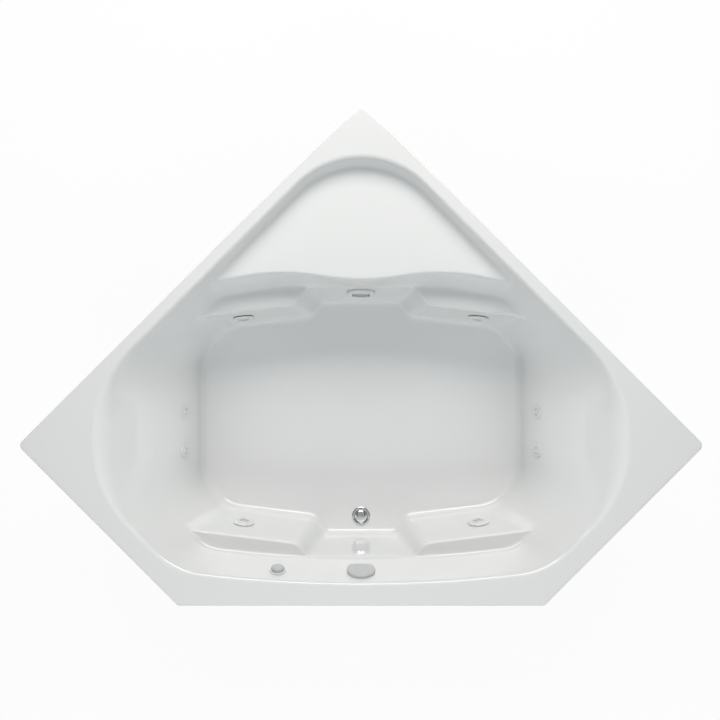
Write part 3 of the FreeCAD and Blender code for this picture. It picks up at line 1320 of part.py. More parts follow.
TEE_X = -V.outlet_reach - V.tee_run
TEE_Y = V.pump_y + V.volute_length / 2 + 3
WATER_SOCKET = V.water_radius + V.seat_gap
WATER_FITTING = WATER_SOCKET + V.port_wall
WATER_Z = V.pump_height + V.volute_radius - V.volute_wall - V.water_radius


def port_end(place, upward, setback):
    """Where a pipe meets the water or air port of a wall fitting."""
    side = 1.0 if upward else -1.0
    return place.multVec(Vector(0, 0, -setback)) + Vector(0, 0, side * (V.port_reach + V.seat_gap))


def line_with_tees(route, radius, stubs):
    """A pipe along a route, with a short tee up or down to each port."""
    outer = bent_rod(route, V.line_bend, radius)
    inner = bent_rod(route, V.line_bend, radius - V.line_wall)
    tees, ways = [], []
    for end, stub_radius, height in stubs:
        foot = Vector(end.x, end.y, height)
        tees.append(rod(stub_radius, foot, end))
        ways.append(rod(stub_radius - V.line_wall, foot, end))
    return outer.fuse(tees).cut([inner] + ways)


def side_run(side, height, upward):
    """The part of a line that serves the jets of one side, back to front."""
    picks = (0, 2) if side < 0 else (1, 3)
    back, front = [port_end(JET_PLACES[i], upward, V.line_offset) for i in picks]
    ends = [port_end(BACK_JET_PLACES[i], upward, V.back_line_offset) for i in picks]
    out = abs(ends[0].x)
    plan = [(abs(back.x) + V.line_bend * 1.5, back.y), (out, ends[0].y + V.line_corner),
            (out, ends[1].y - V.line_corner / 2), (abs(front.x) + V.line_bend * 3, front.y),
            (abs(front.x) - V.line_bend, front.y)]
    route = [Vector(side * x, y, height) for x, y in plan]
    wide, narrow = (V.air_port, V.air_port) if upward else (V.water_port, V.back_water_port)
    stubs = [(end, wide, height) for end in (back, front)] + [(end, narrow, height) for end in ends]
    return back, route, stubs


def end_cap(name, radius):
    """A cap pushed over the end of a pipe, the pipe's end at its origin."""
    return turned(name, [
        (0, S.seat_gap), (radius + S.seat_gap, S.seat_gap), (radius + S.seat_gap, -S.cap_length),
        (radius + S.port_wall, -S.cap_length), (radius + S.port_wall, 2), (radius + 2, S.port_wall),
        (0, S.port_wall)])


def facing_end(side, upward):
    """Where a line ends past its front jet."""
    end = side_run(side, AIR_Z if upward else WATER_Z, upward)[1][-1]
    return Placement(end, Rotation(Vector(0, 0, 1), Vector(-side, 0, 0)))


def make_lines():
    for side, word in ((-1.0, "left"), (1.0, "right")):
        height = WATER_Z
        back, route, stubs = side_run(side, height, False)
        if side < 0:
            start = [Vector(TEE_X - V.tee_grip, TEE_Y, height), Vector(TEE_X - 2.5 * V.tee_run, TEE_Y, height)]
        else:
            start = [Vector(TEE_X, TEE_Y - V.tee_grip, height), Vector(TEE_X, V.crossing_y, height),
                     Vector(-TEE_X, V.crossing_y, height)]
        start.append(Vector(side * (abs(back.x) - V.line_bend * 2), back.y, height))
        shape = line_with_tees(start + route, V.water_radius, stubs)
        keep(fixed("WaterLine_" + word, shape), "water_line_" + word)

        height = AIR_Z
        back, route, stubs = side_run(side, height, True)
        start = [Vector(0, V.crossing_y, height), Vector(side * abs(TEE_X), V.crossing_y, height),
                 Vector(side * (abs(back.x) - V.line_bend * 2), back.y, height)]
        if side < 0:
            control = port_end(AIR_PLACE, False, V.air_setback)
            route += [Vector(control.x, control.y, height), control]
        shape = line_with_tees(start + route, V.air_radius, stubs)
        keep(fixed("AirLine_" + word, shape), "air_line_" + word)

    grip = Vector(-V.tee_grip, 0, 0)
    middle = Vector(TEE_X, TEE_Y, WATER_Z)
    inlet = Vector(-V.outlet_reach, TEE_Y, WATER_Z)
    run_end = middle + Vector(-V.tee_run, 0, 0)
    branch_end = middle + Vector(0, -V.tee_run, 0)
    bore = V.water_radius - V.line_wall
    tee = rod(WATER_FITTING, inlet, run_end).fuse([rod(WATER_FITTING, middle, branch_end),
                                                   rod(V.water_radius, inlet - grip, inlet)])
    tee = tee.cut([rod(bore, inlet - grip, run_end), rod(bore - V.seat_gap, middle, branch_end),
                   rod(WATER_SOCKET, middle + grip, run_end),
                   rod(WATER_SOCKET, middle - Vector(0, V.tee_grip, 0), branch_end)])
    keep(fixed("WaterTee", tee), "water_tee")

    coupling = turned("AirCoupling", [
        (S.air_radius + S.seat_gap, -S.tee_grip), (S.air_radius + 4, -S.tee_grip),
        (S.air_radius + 4, S.tee_grip), (S.air_radius + S.seat_gap, S.tee_grip)])
    coupling.Placement = Placement(Vector(0, V.crossing_y, AIR_Z), Rotation(Vector(0, 0, 1), Vector(1, 0, 0)))
    keep(coupling, "air_coupling")

    water_cap = end_cap("WaterCap", S.water_radius)
    air_cap = end_cap("AirCap", S.air_radius)
    group("water_caps", water_cap, [facing_end(side, False) for side in (-1.0, 1.0)])
    air_cap.Placement = facing_end(1.0, True)
    keep(air_cap, "air_cap")


# ---------------------------------------------------------------------------
# Build, check and write
# ---------------------------------------------------------------------------

def write_parts():
    doc.recompute()
    for item in doc.Objects:
        bad = [state for state in item.State if state in ("Invalid", "Error")]
        assert not bad, f"{item.Name} is {bad}"
    for part in parts:
        shape = part.Shape
        assert not shape.isNull(), part.Label + " has no shape"
        assert shape.isValid(), part.Label + " is not valid"
        assert shape.Solids, part.Label + " has no solid"
    os.makedirs("parts", exist_ok=True)
    for part in parts:
        part.Shape.exportStep(os.path.join("parts", part.Label + ".step"))
    print(len(parts), "sub-parts written")


make_bath_shell()
make_supports()
make_drain()
make_waste()
make_overflow()
make_suction()
make_pump()
make_jets()
make_back_jets()
make_air_control()
make_lines()
write_parts()
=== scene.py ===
import json
import math

import bmesh
import bpy
import numpy as np
from bpy.props import FloatProperty, FloatVectorProperty, IntProperty, PointerProperty
from mathutils import Matrix, Vector

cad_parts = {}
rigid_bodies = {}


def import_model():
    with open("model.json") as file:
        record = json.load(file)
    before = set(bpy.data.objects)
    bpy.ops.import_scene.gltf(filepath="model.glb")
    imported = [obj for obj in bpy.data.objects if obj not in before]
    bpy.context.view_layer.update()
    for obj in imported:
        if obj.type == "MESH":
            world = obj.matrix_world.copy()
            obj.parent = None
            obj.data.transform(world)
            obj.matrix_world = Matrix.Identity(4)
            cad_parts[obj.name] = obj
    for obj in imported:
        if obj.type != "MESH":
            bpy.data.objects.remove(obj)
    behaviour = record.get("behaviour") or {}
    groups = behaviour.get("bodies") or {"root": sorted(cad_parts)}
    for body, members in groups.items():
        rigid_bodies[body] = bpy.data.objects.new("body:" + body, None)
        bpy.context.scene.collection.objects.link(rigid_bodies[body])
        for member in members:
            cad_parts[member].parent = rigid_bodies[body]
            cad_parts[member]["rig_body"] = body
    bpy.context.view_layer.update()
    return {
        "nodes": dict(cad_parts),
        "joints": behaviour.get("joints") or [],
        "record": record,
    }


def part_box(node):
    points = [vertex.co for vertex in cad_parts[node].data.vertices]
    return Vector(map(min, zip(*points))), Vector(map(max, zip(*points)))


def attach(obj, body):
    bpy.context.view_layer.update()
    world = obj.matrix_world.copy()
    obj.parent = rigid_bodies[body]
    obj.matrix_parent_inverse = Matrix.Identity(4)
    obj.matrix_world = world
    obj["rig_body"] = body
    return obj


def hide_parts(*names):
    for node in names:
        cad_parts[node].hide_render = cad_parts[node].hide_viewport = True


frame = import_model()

bl_info = {
    "name": "Corner Jetted Bath",
    "version": (1, 0, 0),
    "blender": (4, 5, 0),
    "location": "View3D > Sidebar > Bath",
    "description": "Dresses a five-sided corner bath and its fittings",
    "category": "Object",
}

JOINTS = {joint["name"]: joint for joint in frame["joints"]}
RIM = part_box("bath_shell")[1].z
MM = 0.001


# ---------------------------------------------------------------------------
# Sizes and colours
# ---------------------------------------------------------------------------

def length(name, description, default):
    return FloatProperty(name=name, description=description, default=default,
                         unit="LENGTH", min=0.0, precision=4)


def colour(name, description, default):
    return FloatVectorProperty(name=name, description=description, default=default, subtype="COLOR",
                               size=3, min=0.0, max=1.0)


class BathShape(bpy.types.PropertyGroup):
    """Sizes of the moulded shell."""
    sheet: length("Acrylic sheet", "Thickness of the acrylic sheet", 0.003)
    backing: length("Backing", "Thickness of the sheet and its glass-fibre backing", 0.005)
    shelf_cove: length("Shelf cove", "Hollow round along the back of the corner shelf", 0.016)
    wave_edge: length("Wavy edge", "Rounding of the shelf's wavy edge", 0.010)
    ledge_cove: length("Ledge cove", "Hollow round behind the armrests", 0.018)
    arm_edge: length("Armrest edge", "Rounding of the armrests' inner edges", 0.012)
    floor_cove: length("Floor cove", "Hollow round between the walls and the floor", 0.030)


class FittingShape(bpy.types.PropertyGroup):
    """Sizes of what is fitted to the shell."""
    jet_radius: length("Jet ring", "Radius of a jet's trim ring", 0.0375)
    nozzle: length("Nozzle", "Radius of a jet's nozzle", 0.006)
    slots: IntProperty(name="Slots", description="Slots in the suction cover", default=7, min=3, max=15)
    bolts: IntProperty(name="Bolts", description="Bolts round the pump casing", default=8, min=4, max=16)


class BathColours(bpy.types.PropertyGroup):
    """Colours of the materials."""
    acrylic: colour("Acrylic", "Moulded acrylic", (0.83, 0.84, 0.84))
    trim: colour("Trim", "Moulded trim of the jets", (0.80, 0.81, 0.81))
    satin: colour("Satin trim", "Overflow cover and air control", (0.60, 0.61, 0.62))
    pipe: colour("Pipe", "Water and air lines", (0.72, 0.73, 0.72))
    motor: colour("Motor", "Paint of the pump's motor", (0.03, 0.06, 0.13))
    floor: colour("Floor", "Floor under the bath", (0.90, 0.90, 0.90))


# ---------------------------------------------------------------------------
# Node trees
# ---------------------------------------------------------------------------

class Shade:
    """One value in a node tree, so that maths on it reads as Python."""

    def __init__(self, tree, socket):
        self.tree = tree
        self.socket = socket

    def math(self, operation, *values):
        return self.tree.node("ShaderNodeMath", {"operation": operation}, dict(enumerate((self,) + values)))

    def __add__(self, other):
        return self.math("ADD", other)

    __radd__ = __add__

    def __sub__(self, other):
        return self.math("SUBTRACT", other)

    def __rsub__(self, other):
        return self.tree.node("ShaderNodeMath", {"operation": "SUBTRACT"}, {0: other, 1: self})

    def __mul__(self, other):
        return self.math("MULTIPLY", other)

    __rmul__ = __mul__

    def clamped(self):
        return self.math("MAXIMUM", 0.0).math("MINIMUM", 1.0)

    def part(self, name):
        """Another output of the same node."""
        return Shade(self.tree, self.socket.node.outputs[name])


class Tree:
    """A node tree whose nodes are made by calls."""

    def __init__(self, data):
        self.data = data
        self.data.nodes.clear()

    def node(self, kind, settings=(), inputs=(), output=0):
        """Makes a node, gives its sockets values or links, and returns one of its outputs."""
        made = self.data.nodes.new(kind)
        for key, value in dict(settings).items():
            setattr(made, key, value)
        for key, value in dict(inputs).items():
            if isinstance(value, Shade):
                self.data.links.new(value.socket, made.inputs[key])
            else:
                made.inputs[key].default_value = value
        return Shade(self, made.outputs[output]) if made.outputs else None


class Paint(Tree):
    """A material made by calls."""

    def __init__(self, name):
        self.material = bpy.data.materials.new(name)
        self.material.use_nodes = True
        super().__init__(self.material.node_tree)

    def place(self):
        return self.node("ShaderNodeTexCoord", output="Object")

    def scaled(self, scale):
        return self.node("ShaderNodeMapping", {}, {"Vector": self.place(), "Scale": scale})

    def noise(self, scale, detail=3.0, rough=0.5, place=None):
        return self.node("ShaderNodeTexNoise", {}, {"Vector": place or self.place(), "Scale": scale,
                                                    "Detail": detail, "Roughness": rough})

    def mix(self, factor, first, second):
        """Blends two colours, which a Mix node has in sockets 6 and 7 and gives in output 2."""
        first, second = (value if isinstance(value, Shade) else (*value, 1.0) for value in (first, second))
        return self.node("ShaderNodeMix", {"data_type": "RGBA"}, {0: factor, 6: first, 7: second}, 2)

    def bump(self, height, distance, strength=1.0):
        return self.node("ShaderNodeBump", {},
                         {"Height": height, "Distance": distance, "Strength": strength})

    def finish(self, **sockets):
        """Ends the material in a Principled surface; sockets are named with underscores."""
        values = {key.replace("_", " "): value for key, value in sockets.items()}
        return self.end(self.node("ShaderNodeBsdfPrincipled", {}, values))

    def end(self, surface):
        self.node("ShaderNodeOutputMaterial", {}, {"Surface": surface})
        return self.material


# ---------------------------------------------------------------------------
# Materials
# ---------------------------------------------------------------------------

def acrylic(tint):
    """Thermoformed sheet: glossy, with a slow ripple and a few fine scuffs."""
    paint = Paint("Moulded acrylic")
    ripple = paint.noise(3.2, 1.5, 0.4)
    grain = paint.noise(900.0, 2.0)
    cloud = paint.noise(5.0, 4.0)
    base = paint.mix(cloud, tuple(c * 0.985 for c in tint), tint)
    rough = 0.09 + cloud * 0.05 + grain * 0.02
    bump = paint.bump(ripple + grain * 0.004, 0.002, 0.25)
    return paint.finish(Base_Color=base, Roughness=rough, Normal=bump, Coat_Weight=0.6, Coat_Roughness=0.04,
                        Specular_IOR_Level=0.5)


def glass_fibre():
    """Resin over chopped strands, sprayed on the back of the sheet."""
    paint = Paint("Glass fibre backing")
    strands = paint.node("ShaderNodeTexVoronoi", {"feature": "DISTANCE_TO_EDGE"},
                         {"Vector": paint.scaled((60.0, 140.0, 90.0)), "Scale": 1.0}, "Distance")
    crossing = paint.node("ShaderNodeTexVoronoi", {"feature": "DISTANCE_TO_EDGE"},
                          {"Vector": paint.scaled((150.0, 55.0, 80.0)), "Scale": 1.0}, "Distance")
    lumps = paint.noise(22.0, 5.0)
    fibre = (strands * crossing * 14.0).clamped()
    resin = paint.mix(lumps, (0.52, 0.50, 0.42), (0.66, 0.65, 0.58))
    base = paint.mix(fibre, (0.74, 0.74, 0.68), resin)
    bump = paint.bump(lumps + fibre * 0.35, 0.003, 0.8)
    return paint.finish(Base_Color=base, Roughness=0.42 + fibre * 0.2, Normal=bump)


def moulded(name, tint, rough, texture=0.02, grain_size=1400.0):
    """Injection-moulded plastic with a fine spark-eroded grain and soft sink marks."""
    paint = Paint(name)
    grain = paint.noise(grain_size, 2.0)
    sink = paint.noise(38.0, 3.0)
    base = paint.mix(sink, tuple(c * 0.95 for c in tint), tint)
    gloss = rough + (sink - 0.5) * 0.08 + (grain - 0.5) * 0.06
    bump = paint.bump(sink * 0.4 + grain * texture, 0.0006, 0.5)
    return paint.finish(Base_Color=base, Roughness=gloss, Normal=bump)


def chrome():
    """Polished plating with water marks and a faint turning pattern."""
    paint = Paint("Polished chrome")
    marks = paint.noise(240.0, 4.0, 0.65)
    base = paint.mix(marks, (0.66, 0.67, 0.68), (0.80, 0.81, 0.82))
    rough = 0.05 + (marks - 0.45).clamped() * 0.35
    return paint.finish(Base_Color=base, Metallic=1.0, Roughness=rough,
                        Normal=paint.bump(paint.noise(60.0, 2.0), 0.00003, 0.15))


def rubber():
    paint = Paint("Moulded rubber")
    bloom = paint.noise(70.0, 5.0, 0.6)
    base = paint.mix(bloom, (0.012, 0.012, 0.012), (0.035, 0.035, 0.034))
    return paint.finish(Base_Color=base, Roughness=0.62 + bloom * 0.2, Normal=paint.bump(bloom, 0.0008, 0.4))


def extruded(name, tint, rough):
    """Extruded tube: fine drawn lines, dust and handling marks."""
    paint = Paint(name)
    lines = paint.noise(1.0, 3.0, 0.5, paint.scaled((420.0, 420.0, 16.0)))
    dust = paint.noise(14.0, 6.0, 0.6)
    base = paint.mix((dust * 1.4 - 0.3).clamped(), tuple(c * 0.86 for c in tint), tint)
    bump = paint.bump(lines, 0.0004, 0.35)
    return paint.finish(Base_Color=base, Roughness=rough + dust * 0.12, Normal=bump)


def wire_drawn_steel():
    paint = Paint("Turned steel")
    turning = paint.noise(1.0, 2.0, 0.5, paint.scaled((30.0, 900.0, 30.0)))
    base = paint.mix(turning, (0.36, 0.36, 0.37), (0.55, 0.55, 0.56))
    return paint.finish(Base_Color=base, Metallic=1.0, Roughness=0.24 + turning * 0.18,
                        Normal=paint.bump(turning, 0.0002, 0.5))


def motor_paint(tint):
    """Satin enamel on cast metal, with orange peel and worn high spots."""
    paint = Paint("Satin enamel")
    peel = paint.noise(420.0, 2.0)
    cast = paint.noise(60.0, 4.0)
    wear = ((paint.noise(26.0, 6.0, 0.7) - 0.62) * 9.0).clamped()
    base = paint.mix(wear, tint, (0.22, 0.23, 0.25))
    return paint.finish(Base_Color=base, Roughness=0.36 + wear * 0.2, Metallic=wear * 0.6,
                        Normal=paint.bump(peel * 0.25 + cast, 0.0008, 0.4), Coat_Weight=0.25)


def plywood():
    """Rotary-cut face veneer, with the plies showing where the edge is cut."""
    paint = Paint("Plywood")
    wander = paint.noise(2.2, 3.0)
    place = paint.node("ShaderNodeSeparateXYZ", {}, {0: paint.place()})
    across = place.part("Y")
    rings = paint.node("ShaderNodeTexWave", {"bands_direction": "Y", "wave_profile": "SAW"},
                       {"Vector": paint.scaled((0.6, 1.0, 1.0)), "Scale": 4.5, "Distortion": 9.0,
                        "Detail": 3.0, "Detail Scale": 1.2}, "Fac")
    pores = paint.noise(1.0, 4.0, 0.6, paint.scaled((14.0, 620.0, 160.0)))
    face = paint.mix(rings, (0.40, 0.25, 0.12), (0.56, 0.39, 0.21))
    face = paint.mix((pores - 0.45).clamped() * 0.9, face, (0.30, 0.17, 0.08))
    plies = (place.part("Z") * 720.0 + wander * 0.6 + across * 0.2).math("SINE") * 0.5 + 0.5
    normal = paint.node("ShaderNodeNewGeometry", output="Normal")
    flat = paint.node("ShaderNodeSeparateXYZ", {}, {0: normal}).part("Z").math("ABSOLUTE")
    edge = paint.mix(plies, (0.22, 0.12, 0.05), (0.52, 0.37, 0.21))
    base = paint.mix((flat * 4.0 - 2.5).clamped(), edge, face)
    bump = paint.bump(pores, 0.0006, 0.5)
    return paint.finish(Base_Color=base, Roughness=0.62 + pores * 0.15, Normal=bump)


def make_materials(colours):
    """Every finish, under the name of the record's material slot."""
    return {
        "acrylic": acrylic(tuple(colours.acrylic)),
        "backing": glass_fibre(),
        "chrome": chrome(),
        "rubber": rubber(),
        "white_plastic": moulded("Gloss white plastic", tuple(colours.trim), 0.20),
        "satin_plastic": moulded("Satin plastic", tuple(colours.satin), 0.30),
        "pvc": extruded("Pipe plastic", tuple(colours.pipe), 0.34),
        "waste_plastic": extruded("Black waste plastic", (0.020, 0.020, 0.021), 0.36),
        "pump_plastic": moulded("Glass-filled plastic", (0.022, 0.023, 0.025), 0.48, 0.2, 700.0),
        "motor_paint": motor_paint(tuple(colours.motor)),
        "steel": wire_drawn_steel(),
        "plywood": plywood(),
        "foot_plastic": moulded("Recycled plastic", (0.035, 0.036, 0.037), 0.58, 0.5, 260.0),
    }


FINISHES = {}


# ---------------------------------------------------------------------------
# Plan of the bath, in millimetres: straight walls met by round corners
# ---------------------------------------------------------------------------

ROOT2 = math.sqrt(2.0)
WALL_SIDE, RETURN_SIDE = 1524.0, 711.0
FRONT_CORNER, TIP_CORNER, BACK_CORNER = 12.0, 20.0, 12.0
LIP, LIP_ROUND = 40.0, 4.0
HALF_WIDTH = WALL_SIDE / ROOT2
FRONT_HALF = HALF_WIDTH - RETURN_SIDE / ROOT2
DECK_DEPTH = (WALL_SIDE + RETURN_SIDE) / ROOT2
APEX_Y = (DECK_DEPTH + BACK_CORNER * (ROOT2 - 1.0)) / 2
FRONT_Y = APEX_Y - DECK_DEPTH
HEART = np.array((0.0, -235.0))  # the middle that every outline is seen from

# Depths below the deck, and the rounds of the mouth's straight edges and of its ends
WELL, LEDGE, SHELF = 440.0, 150.0, 50.0
CRISP, SOFT = 9.0, 26.0

# The deck's widths, and how far the walls lean in by the ledge and by the floor
FRONT_DECK, RETURN_DECK, BACK_DECK = 71.0, 70.0, 40.0
BACKREST = 821.0  # half the mouth's length
FRONT_LEAN = 33.0
RETURN_LEAN, BACKREST_LEAN, BACK_LEAN = (67.0, 131.0), (121.0, 217.0), (43.0, 87.0)

# The front wall's bow, as its radius at the deck and at the ledge and the degrees it turns each way
BOW, LEDGE_BOW, BOW_TURN = 4300.0, 3850.0, 6.4

# The shelf's wavy edge, as places across and their distances back, at the shelf and at the ledge
SHOULDER_X, SHOULDER_Y = 484.0, (232.0, 196.0)
CREST_X, CREST_Y = 262.0, (273.0, 233.0)
BAY_BACK = 229.0
MIDDLE_Y = (232.0, BAY_BACK)

# The bays between the armrests, and a point on each armrest's inner edge
BAY_HALF, BAY_TURN, BAY_LEAN = 178.0, 52.0, 40.0
BAY_STEP, FRONT_BAY_LEAN, BACK_BAY_LEAN = 5.0, 4.0, 24.0
ARM_X, FRONT_ARM_Y, BACK_ARM_Y = 400.0, -609.0, 147.0
ARM_TURN, ARM_LEAN = 7.0, 22.0

# Rounds in plan: at the mouth, at the ledge and at the floor
MOUTH_ROUNDS, MOUTH_BACK_ROUND = (246.0, 385.0), 283.0
LEDGE_ROUNDS, FLOOR_ROUND = (130.0, 280.0), 150.0
SHELF_END_ROUND, WAVE_ROUND = 60.0, 700.0
BAY_ROUNDS, ARM_ROUND = (35.0, 55.0), 90.0

FLOOR = RIM - WELL * MM  # the well's floor, in metres


class Wall:
    """A straight wall in plan: its outward direction and its distance out."""

    def __init__(self, nx, ny, distance):
        self.nx, self.ny, self.distance = nx, ny, distance

    @classmethod
    def facing(cls, out_angle, distance=0.0):
        return cls(math.cos(math.radians(out_angle)), math.sin(math.radians(out_angle)), distance)

    @classmethod
    def through(cls, x, y, out_angle):
        wall = cls.facing(out_angle)
        wall.distance = wall.nx * x + wall.ny * y
        return wall

    @classmethod
    def joining(cls, first, last):
        out_angle = math.degrees(math.atan2(last[1] - first[1], last[0] - first[0])) - 90.0
        return cls.through(first[0], first[1], out_angle)

    def moved(self, outwards):
        return Wall(self.nx, self.ny, self.distance + outwards)

    def mirrored(self):
        return Wall(-self.nx, self.ny, self.distance)

    def meet(self, other):
        det = self.nx * other.ny - self.ny * other.nx
        return np.array(((self.distance * other.ny - self.ny * other.distance) / det,
                         (self.nx * other.distance - self.distance * other.nx) / det))


def both_halves(walls, rounds, front_round=None, back_round=None):
    """Closes a right half, listed front to back, with its mirror image."""
    left = [wall.mirrored() for wall in reversed(walls)]
    corners = list(rounds) + list(reversed(rounds))
    if back_round is None:
        left = left[1:]
    else:
        corners.insert(len(rounds), back_round)
    if front_round is None:
        left = left[:-1]
        corners = corners[-1:] + corners[:-1]
    else:
        corners.insert(0, front_round)
    return walls + left, corners


def outline(walls, radii, grow=0.0):
    """Points round the outline, close together on its arcs."""
    grown = [wall.moved(grow) for wall in walls]
    points = []
    for i, wall in enumerate(grown):
        before = grown[i - 1]
        turn = math.atan2(before.nx * wall.ny - before.ny * wall.nx,
                          before.nx * wall.nx + before.ny * wall.ny)
        corner = before.meet(wall)
        sign = math.copysign(1.0, turn)
        radius = max(radii[i] + sign * grow, 1.0)
        first = corner - np.array((-before.ny, before.nx)) * radius * math.tan(abs(turn) / 2)
        centre = first - np.array((before.nx, before.ny)) * sign * radius
        start = math.atan2(first[1] - centre[1], first[0] - centre[0])
        for angle in np.linspace(start, start + turn, 61):
            points.append(centre + radius * np.array((math.cos(angle), math.sin(angle))))
    return np.array(points)


def seen_from_heart(points, angles):
    """How far out the outline is in each direction."""
    offset = points - HEART
    bearing = np.unwrap(np.arctan2(offset[:, 1], offset[:, 0]))
    turn = 2 * math.pi
    wanted = bearing[0] + np.mod(angles - bearing[0], turn)
    closed = np.append(bearing, bearing[0] + turn)
    index = np.clip(np.searchsorted(closed, wanted, side="right") - 1, 0, len(points) - 1)
    first = offset[index]
    last = offset[(index + 1) % len(points)]
    run = last - first
    along = np.stack((np.cos(angles), np.sin(angles)), axis=1)
    cross = along[:, 0] * run[:, 1] - along[:, 1] * run[:, 0]
    reach = first[:, 0] * run[:, 1] - first[:, 1] * run[:, 0]
    flat = np.abs(cross) < 1e-9
    return np.where(flat, np.hypot(first[:, 0], first[:, 1]), reach / np.where(flat, 1.0, cross))


def lean(depth, at_ledge, at_floor):
    """How far a hollow wall has come in at a depth."""
    bend = (at_floor / WELL - at_ledge / LEDGE) / (WELL - LEDGE)
    return (at_ledge / LEDGE - bend * LEDGE) * depth + bend * depth * depth


def rounded(depth, radius):
    """How far out a round of the deck's edge still is at a depth."""
    inside = min(max(depth, 0.0), radius)
    return radius - math.sqrt(radius * radius - (radius - inside) ** 2)


def part_way(low, high, share):
    return low + (high - low) * share


def end_walls(depth):
    below = max(depth, 0.0)
    crisp, soft = rounded(depth, CRISP), rounded(depth, SOFT)
    by_front = (FRONT_HALF - FRONT_Y) / ROOT2 - RETURN_DECK + crisp - lean(below, *RETURN_LEAN)
    backrest = BACKREST + soft - lean(below, *BACKREST_LEAN)
    by_back = APEX_Y / ROOT2 - BACK_DECK + crisp - lean(below, *BACK_LEAN)
    return [Wall.facing(-45.0, by_front), Wall.facing(0.0, backrest), Wall.facing(45.0, by_back)]


def front_wall(depth):
    peak = FRONT_Y + FRONT_DECK - BOW * (1.0 / math.cos(math.radians(BOW_TURN)) - 1.0)
    wall = Wall.through(0.0, peak, -90.0 + BOW_TURN)
    return wall.moved(rounded(depth, CRISP) - FRONT_LEAN * max(depth, 0.0) / LEDGE)


def back_walls(depth):
    share = (depth - SHELF) / (LEDGE - SHELF)
    shoulder = (SHOULDER_X, part_way(*SHOULDER_Y, share))
    crest = (CREST_X, part_way(*CREST_Y, share))
    middle = (0.0, part_way(*MIDDLE_Y, share))
    return [Wall.joining(shoulder, crest), Wall.joining(crest, middle)]


def mouth_rounds(depth):
    share = max(depth, 0.0) / LEDGE
    front, end = (part_way(*pair, share) for pair in zip(MOUTH_ROUNDS, LEDGE_ROUNDS))
    return [front, end, end]


def bow_round(depth):
    return part_way(BOW, LEDGE_BOW, max(depth, 0.0) / LEDGE)


def mouth(depth):
    walls = [front_wall(depth)] + end_walls(depth)
    return outline(*both_halves(walls, mouth_rounds(depth), bow_round(depth), MOUTH_BACK_ROUND))


def upper_well(depth):
    share = (depth - SHELF) / (LEDGE - SHELF)
    walls = [front_wall(depth)] + end_walls(depth) + back_walls(depth)
    rounds = mouth_rounds(depth) + [part_way(SHELF_END_ROUND, LEDGE_ROUNDS[0], share), WAVE_ROUND]
    return outline(*both_halves(walls, rounds, bow_round(depth), WAVE_ROUND))


def lower_well(depth):
    share = (depth - LEDGE) / (WELL - LEDGE)
    bay_front = FRONT_Y + FRONT_DECK + FRONT_LEAN + BAY_STEP
    front_bay = Wall.through(0.0, bay_front + FRONT_BAY_LEAN * share, -90.0)
    back_bay = Wall.through(0.0, BAY_BACK - BACK_BAY_LEAN * share, 90.0)
    front_side = Wall.through(BAY_HALF, bay_front, -90.0 + BAY_TURN).moved(-BAY_LEAN * share)
    back_side = Wall.through(BAY_HALF, BAY_BACK, 90.0 - BAY_TURN).moved(-BAY_LEAN * share)
    front_arm = Wall.through(ARM_X, FRONT_ARM_Y, -90.0 + ARM_TURN).moved(-ARM_LEAN * share)
    back_arm = Wall.through(ARM_X, BACK_ARM_Y, 90.0 - ARM_TURN).moved(-ARM_LEAN * share)
    walls = [front_bay, front_side, front_arm] + end_walls(depth) + [back_arm, back_side, back_bay]
    arm_end, end = (part_way(radius, FLOOR_ROUND, share) for radius in (ARM_ROUND, LEDGE_ROUNDS[1]))
    half = [*BAY_ROUNDS, arm_end, end]
    return outline(*both_halves(walls, half + half[::-1]))


def deck_edge(grow=0.0):
    walls = [Wall.facing(-90.0, -FRONT_Y), Wall.facing(-45.0, (FRONT_HALF - FRONT_Y) / ROOT2),
             Wall.facing(45.0, APEX_Y / ROOT2)]
    return outline(*both_halves(walls, [FRONT_CORNER, TIP_CORNER], back_round=BACK_CORNER), grow)


# ---------------------------------------------------------------------------
# The moulded shell
# ---------------------------------------------------------------------------

FINE_RAYS = 720


def ray_angles(count):
    """Directions from the heart, closer together where the plan turns quickly."""
    angles = [np.linspace(0.0, 2 * math.pi, count, endpoint=False)]
    corners = [(0.0, APEX_Y), (HALF_WIDTH, APEX_Y - HALF_WIDTH), (-HALF_WIDTH, APEX_Y - HALF_WIDTH),
               (FRONT_HALF, FRONT_Y), (-FRONT_HALF, FRONT_Y)]
    for x, y in corners:
        middle = math.atan2(y - HEART[1], x - HEART[0])
        angles.append(middle + np.linspace(-1.0, 1.0, 17) * math.radians(1.3))
    merged = np.sort(np.mod(np.concatenate(angles), 2 * math.pi))
    return merged[np.append(True, np.diff(merged) > 2e-4)]


def smooth_step(value, start, end):
    """Runs from 0 to 1 between two values, level at both."""
    share = np.clip((value - start) / (end - start), 0.0, 1.0)
    return share * share * (3.0 - 2.0 * share)


def fillet(before, corner, after, reach, share_before, share_after, count):
    """Points of a round between two runs of the profile, for every direction at once."""
    run_in = corner - before
    run_out = after - corner
    size_in = np.maximum(np.linalg.norm(run_in, axis=0), 1e-6)
    size_out = np.maximum(np.linalg.norm(run_out, axis=0), 1e-6)
    first = corner - run_in / size_in * np.minimum(reach, size_in * share_before)
    last = corner + run_out / size_out * np.minimum(reach, size_out * share_after)
    pull = 0.72
    points = []
    for t in np.linspace(0.0, 1.0, count + 1):
        a = first + (corner - first) * pull
        b = last + (corner - last) * pull
        s = 1 - t
        points.append(s ** 3 * first + 3 * s * s * t * a + 3 * s * t * t * b + t ** 3 * last)
    return points


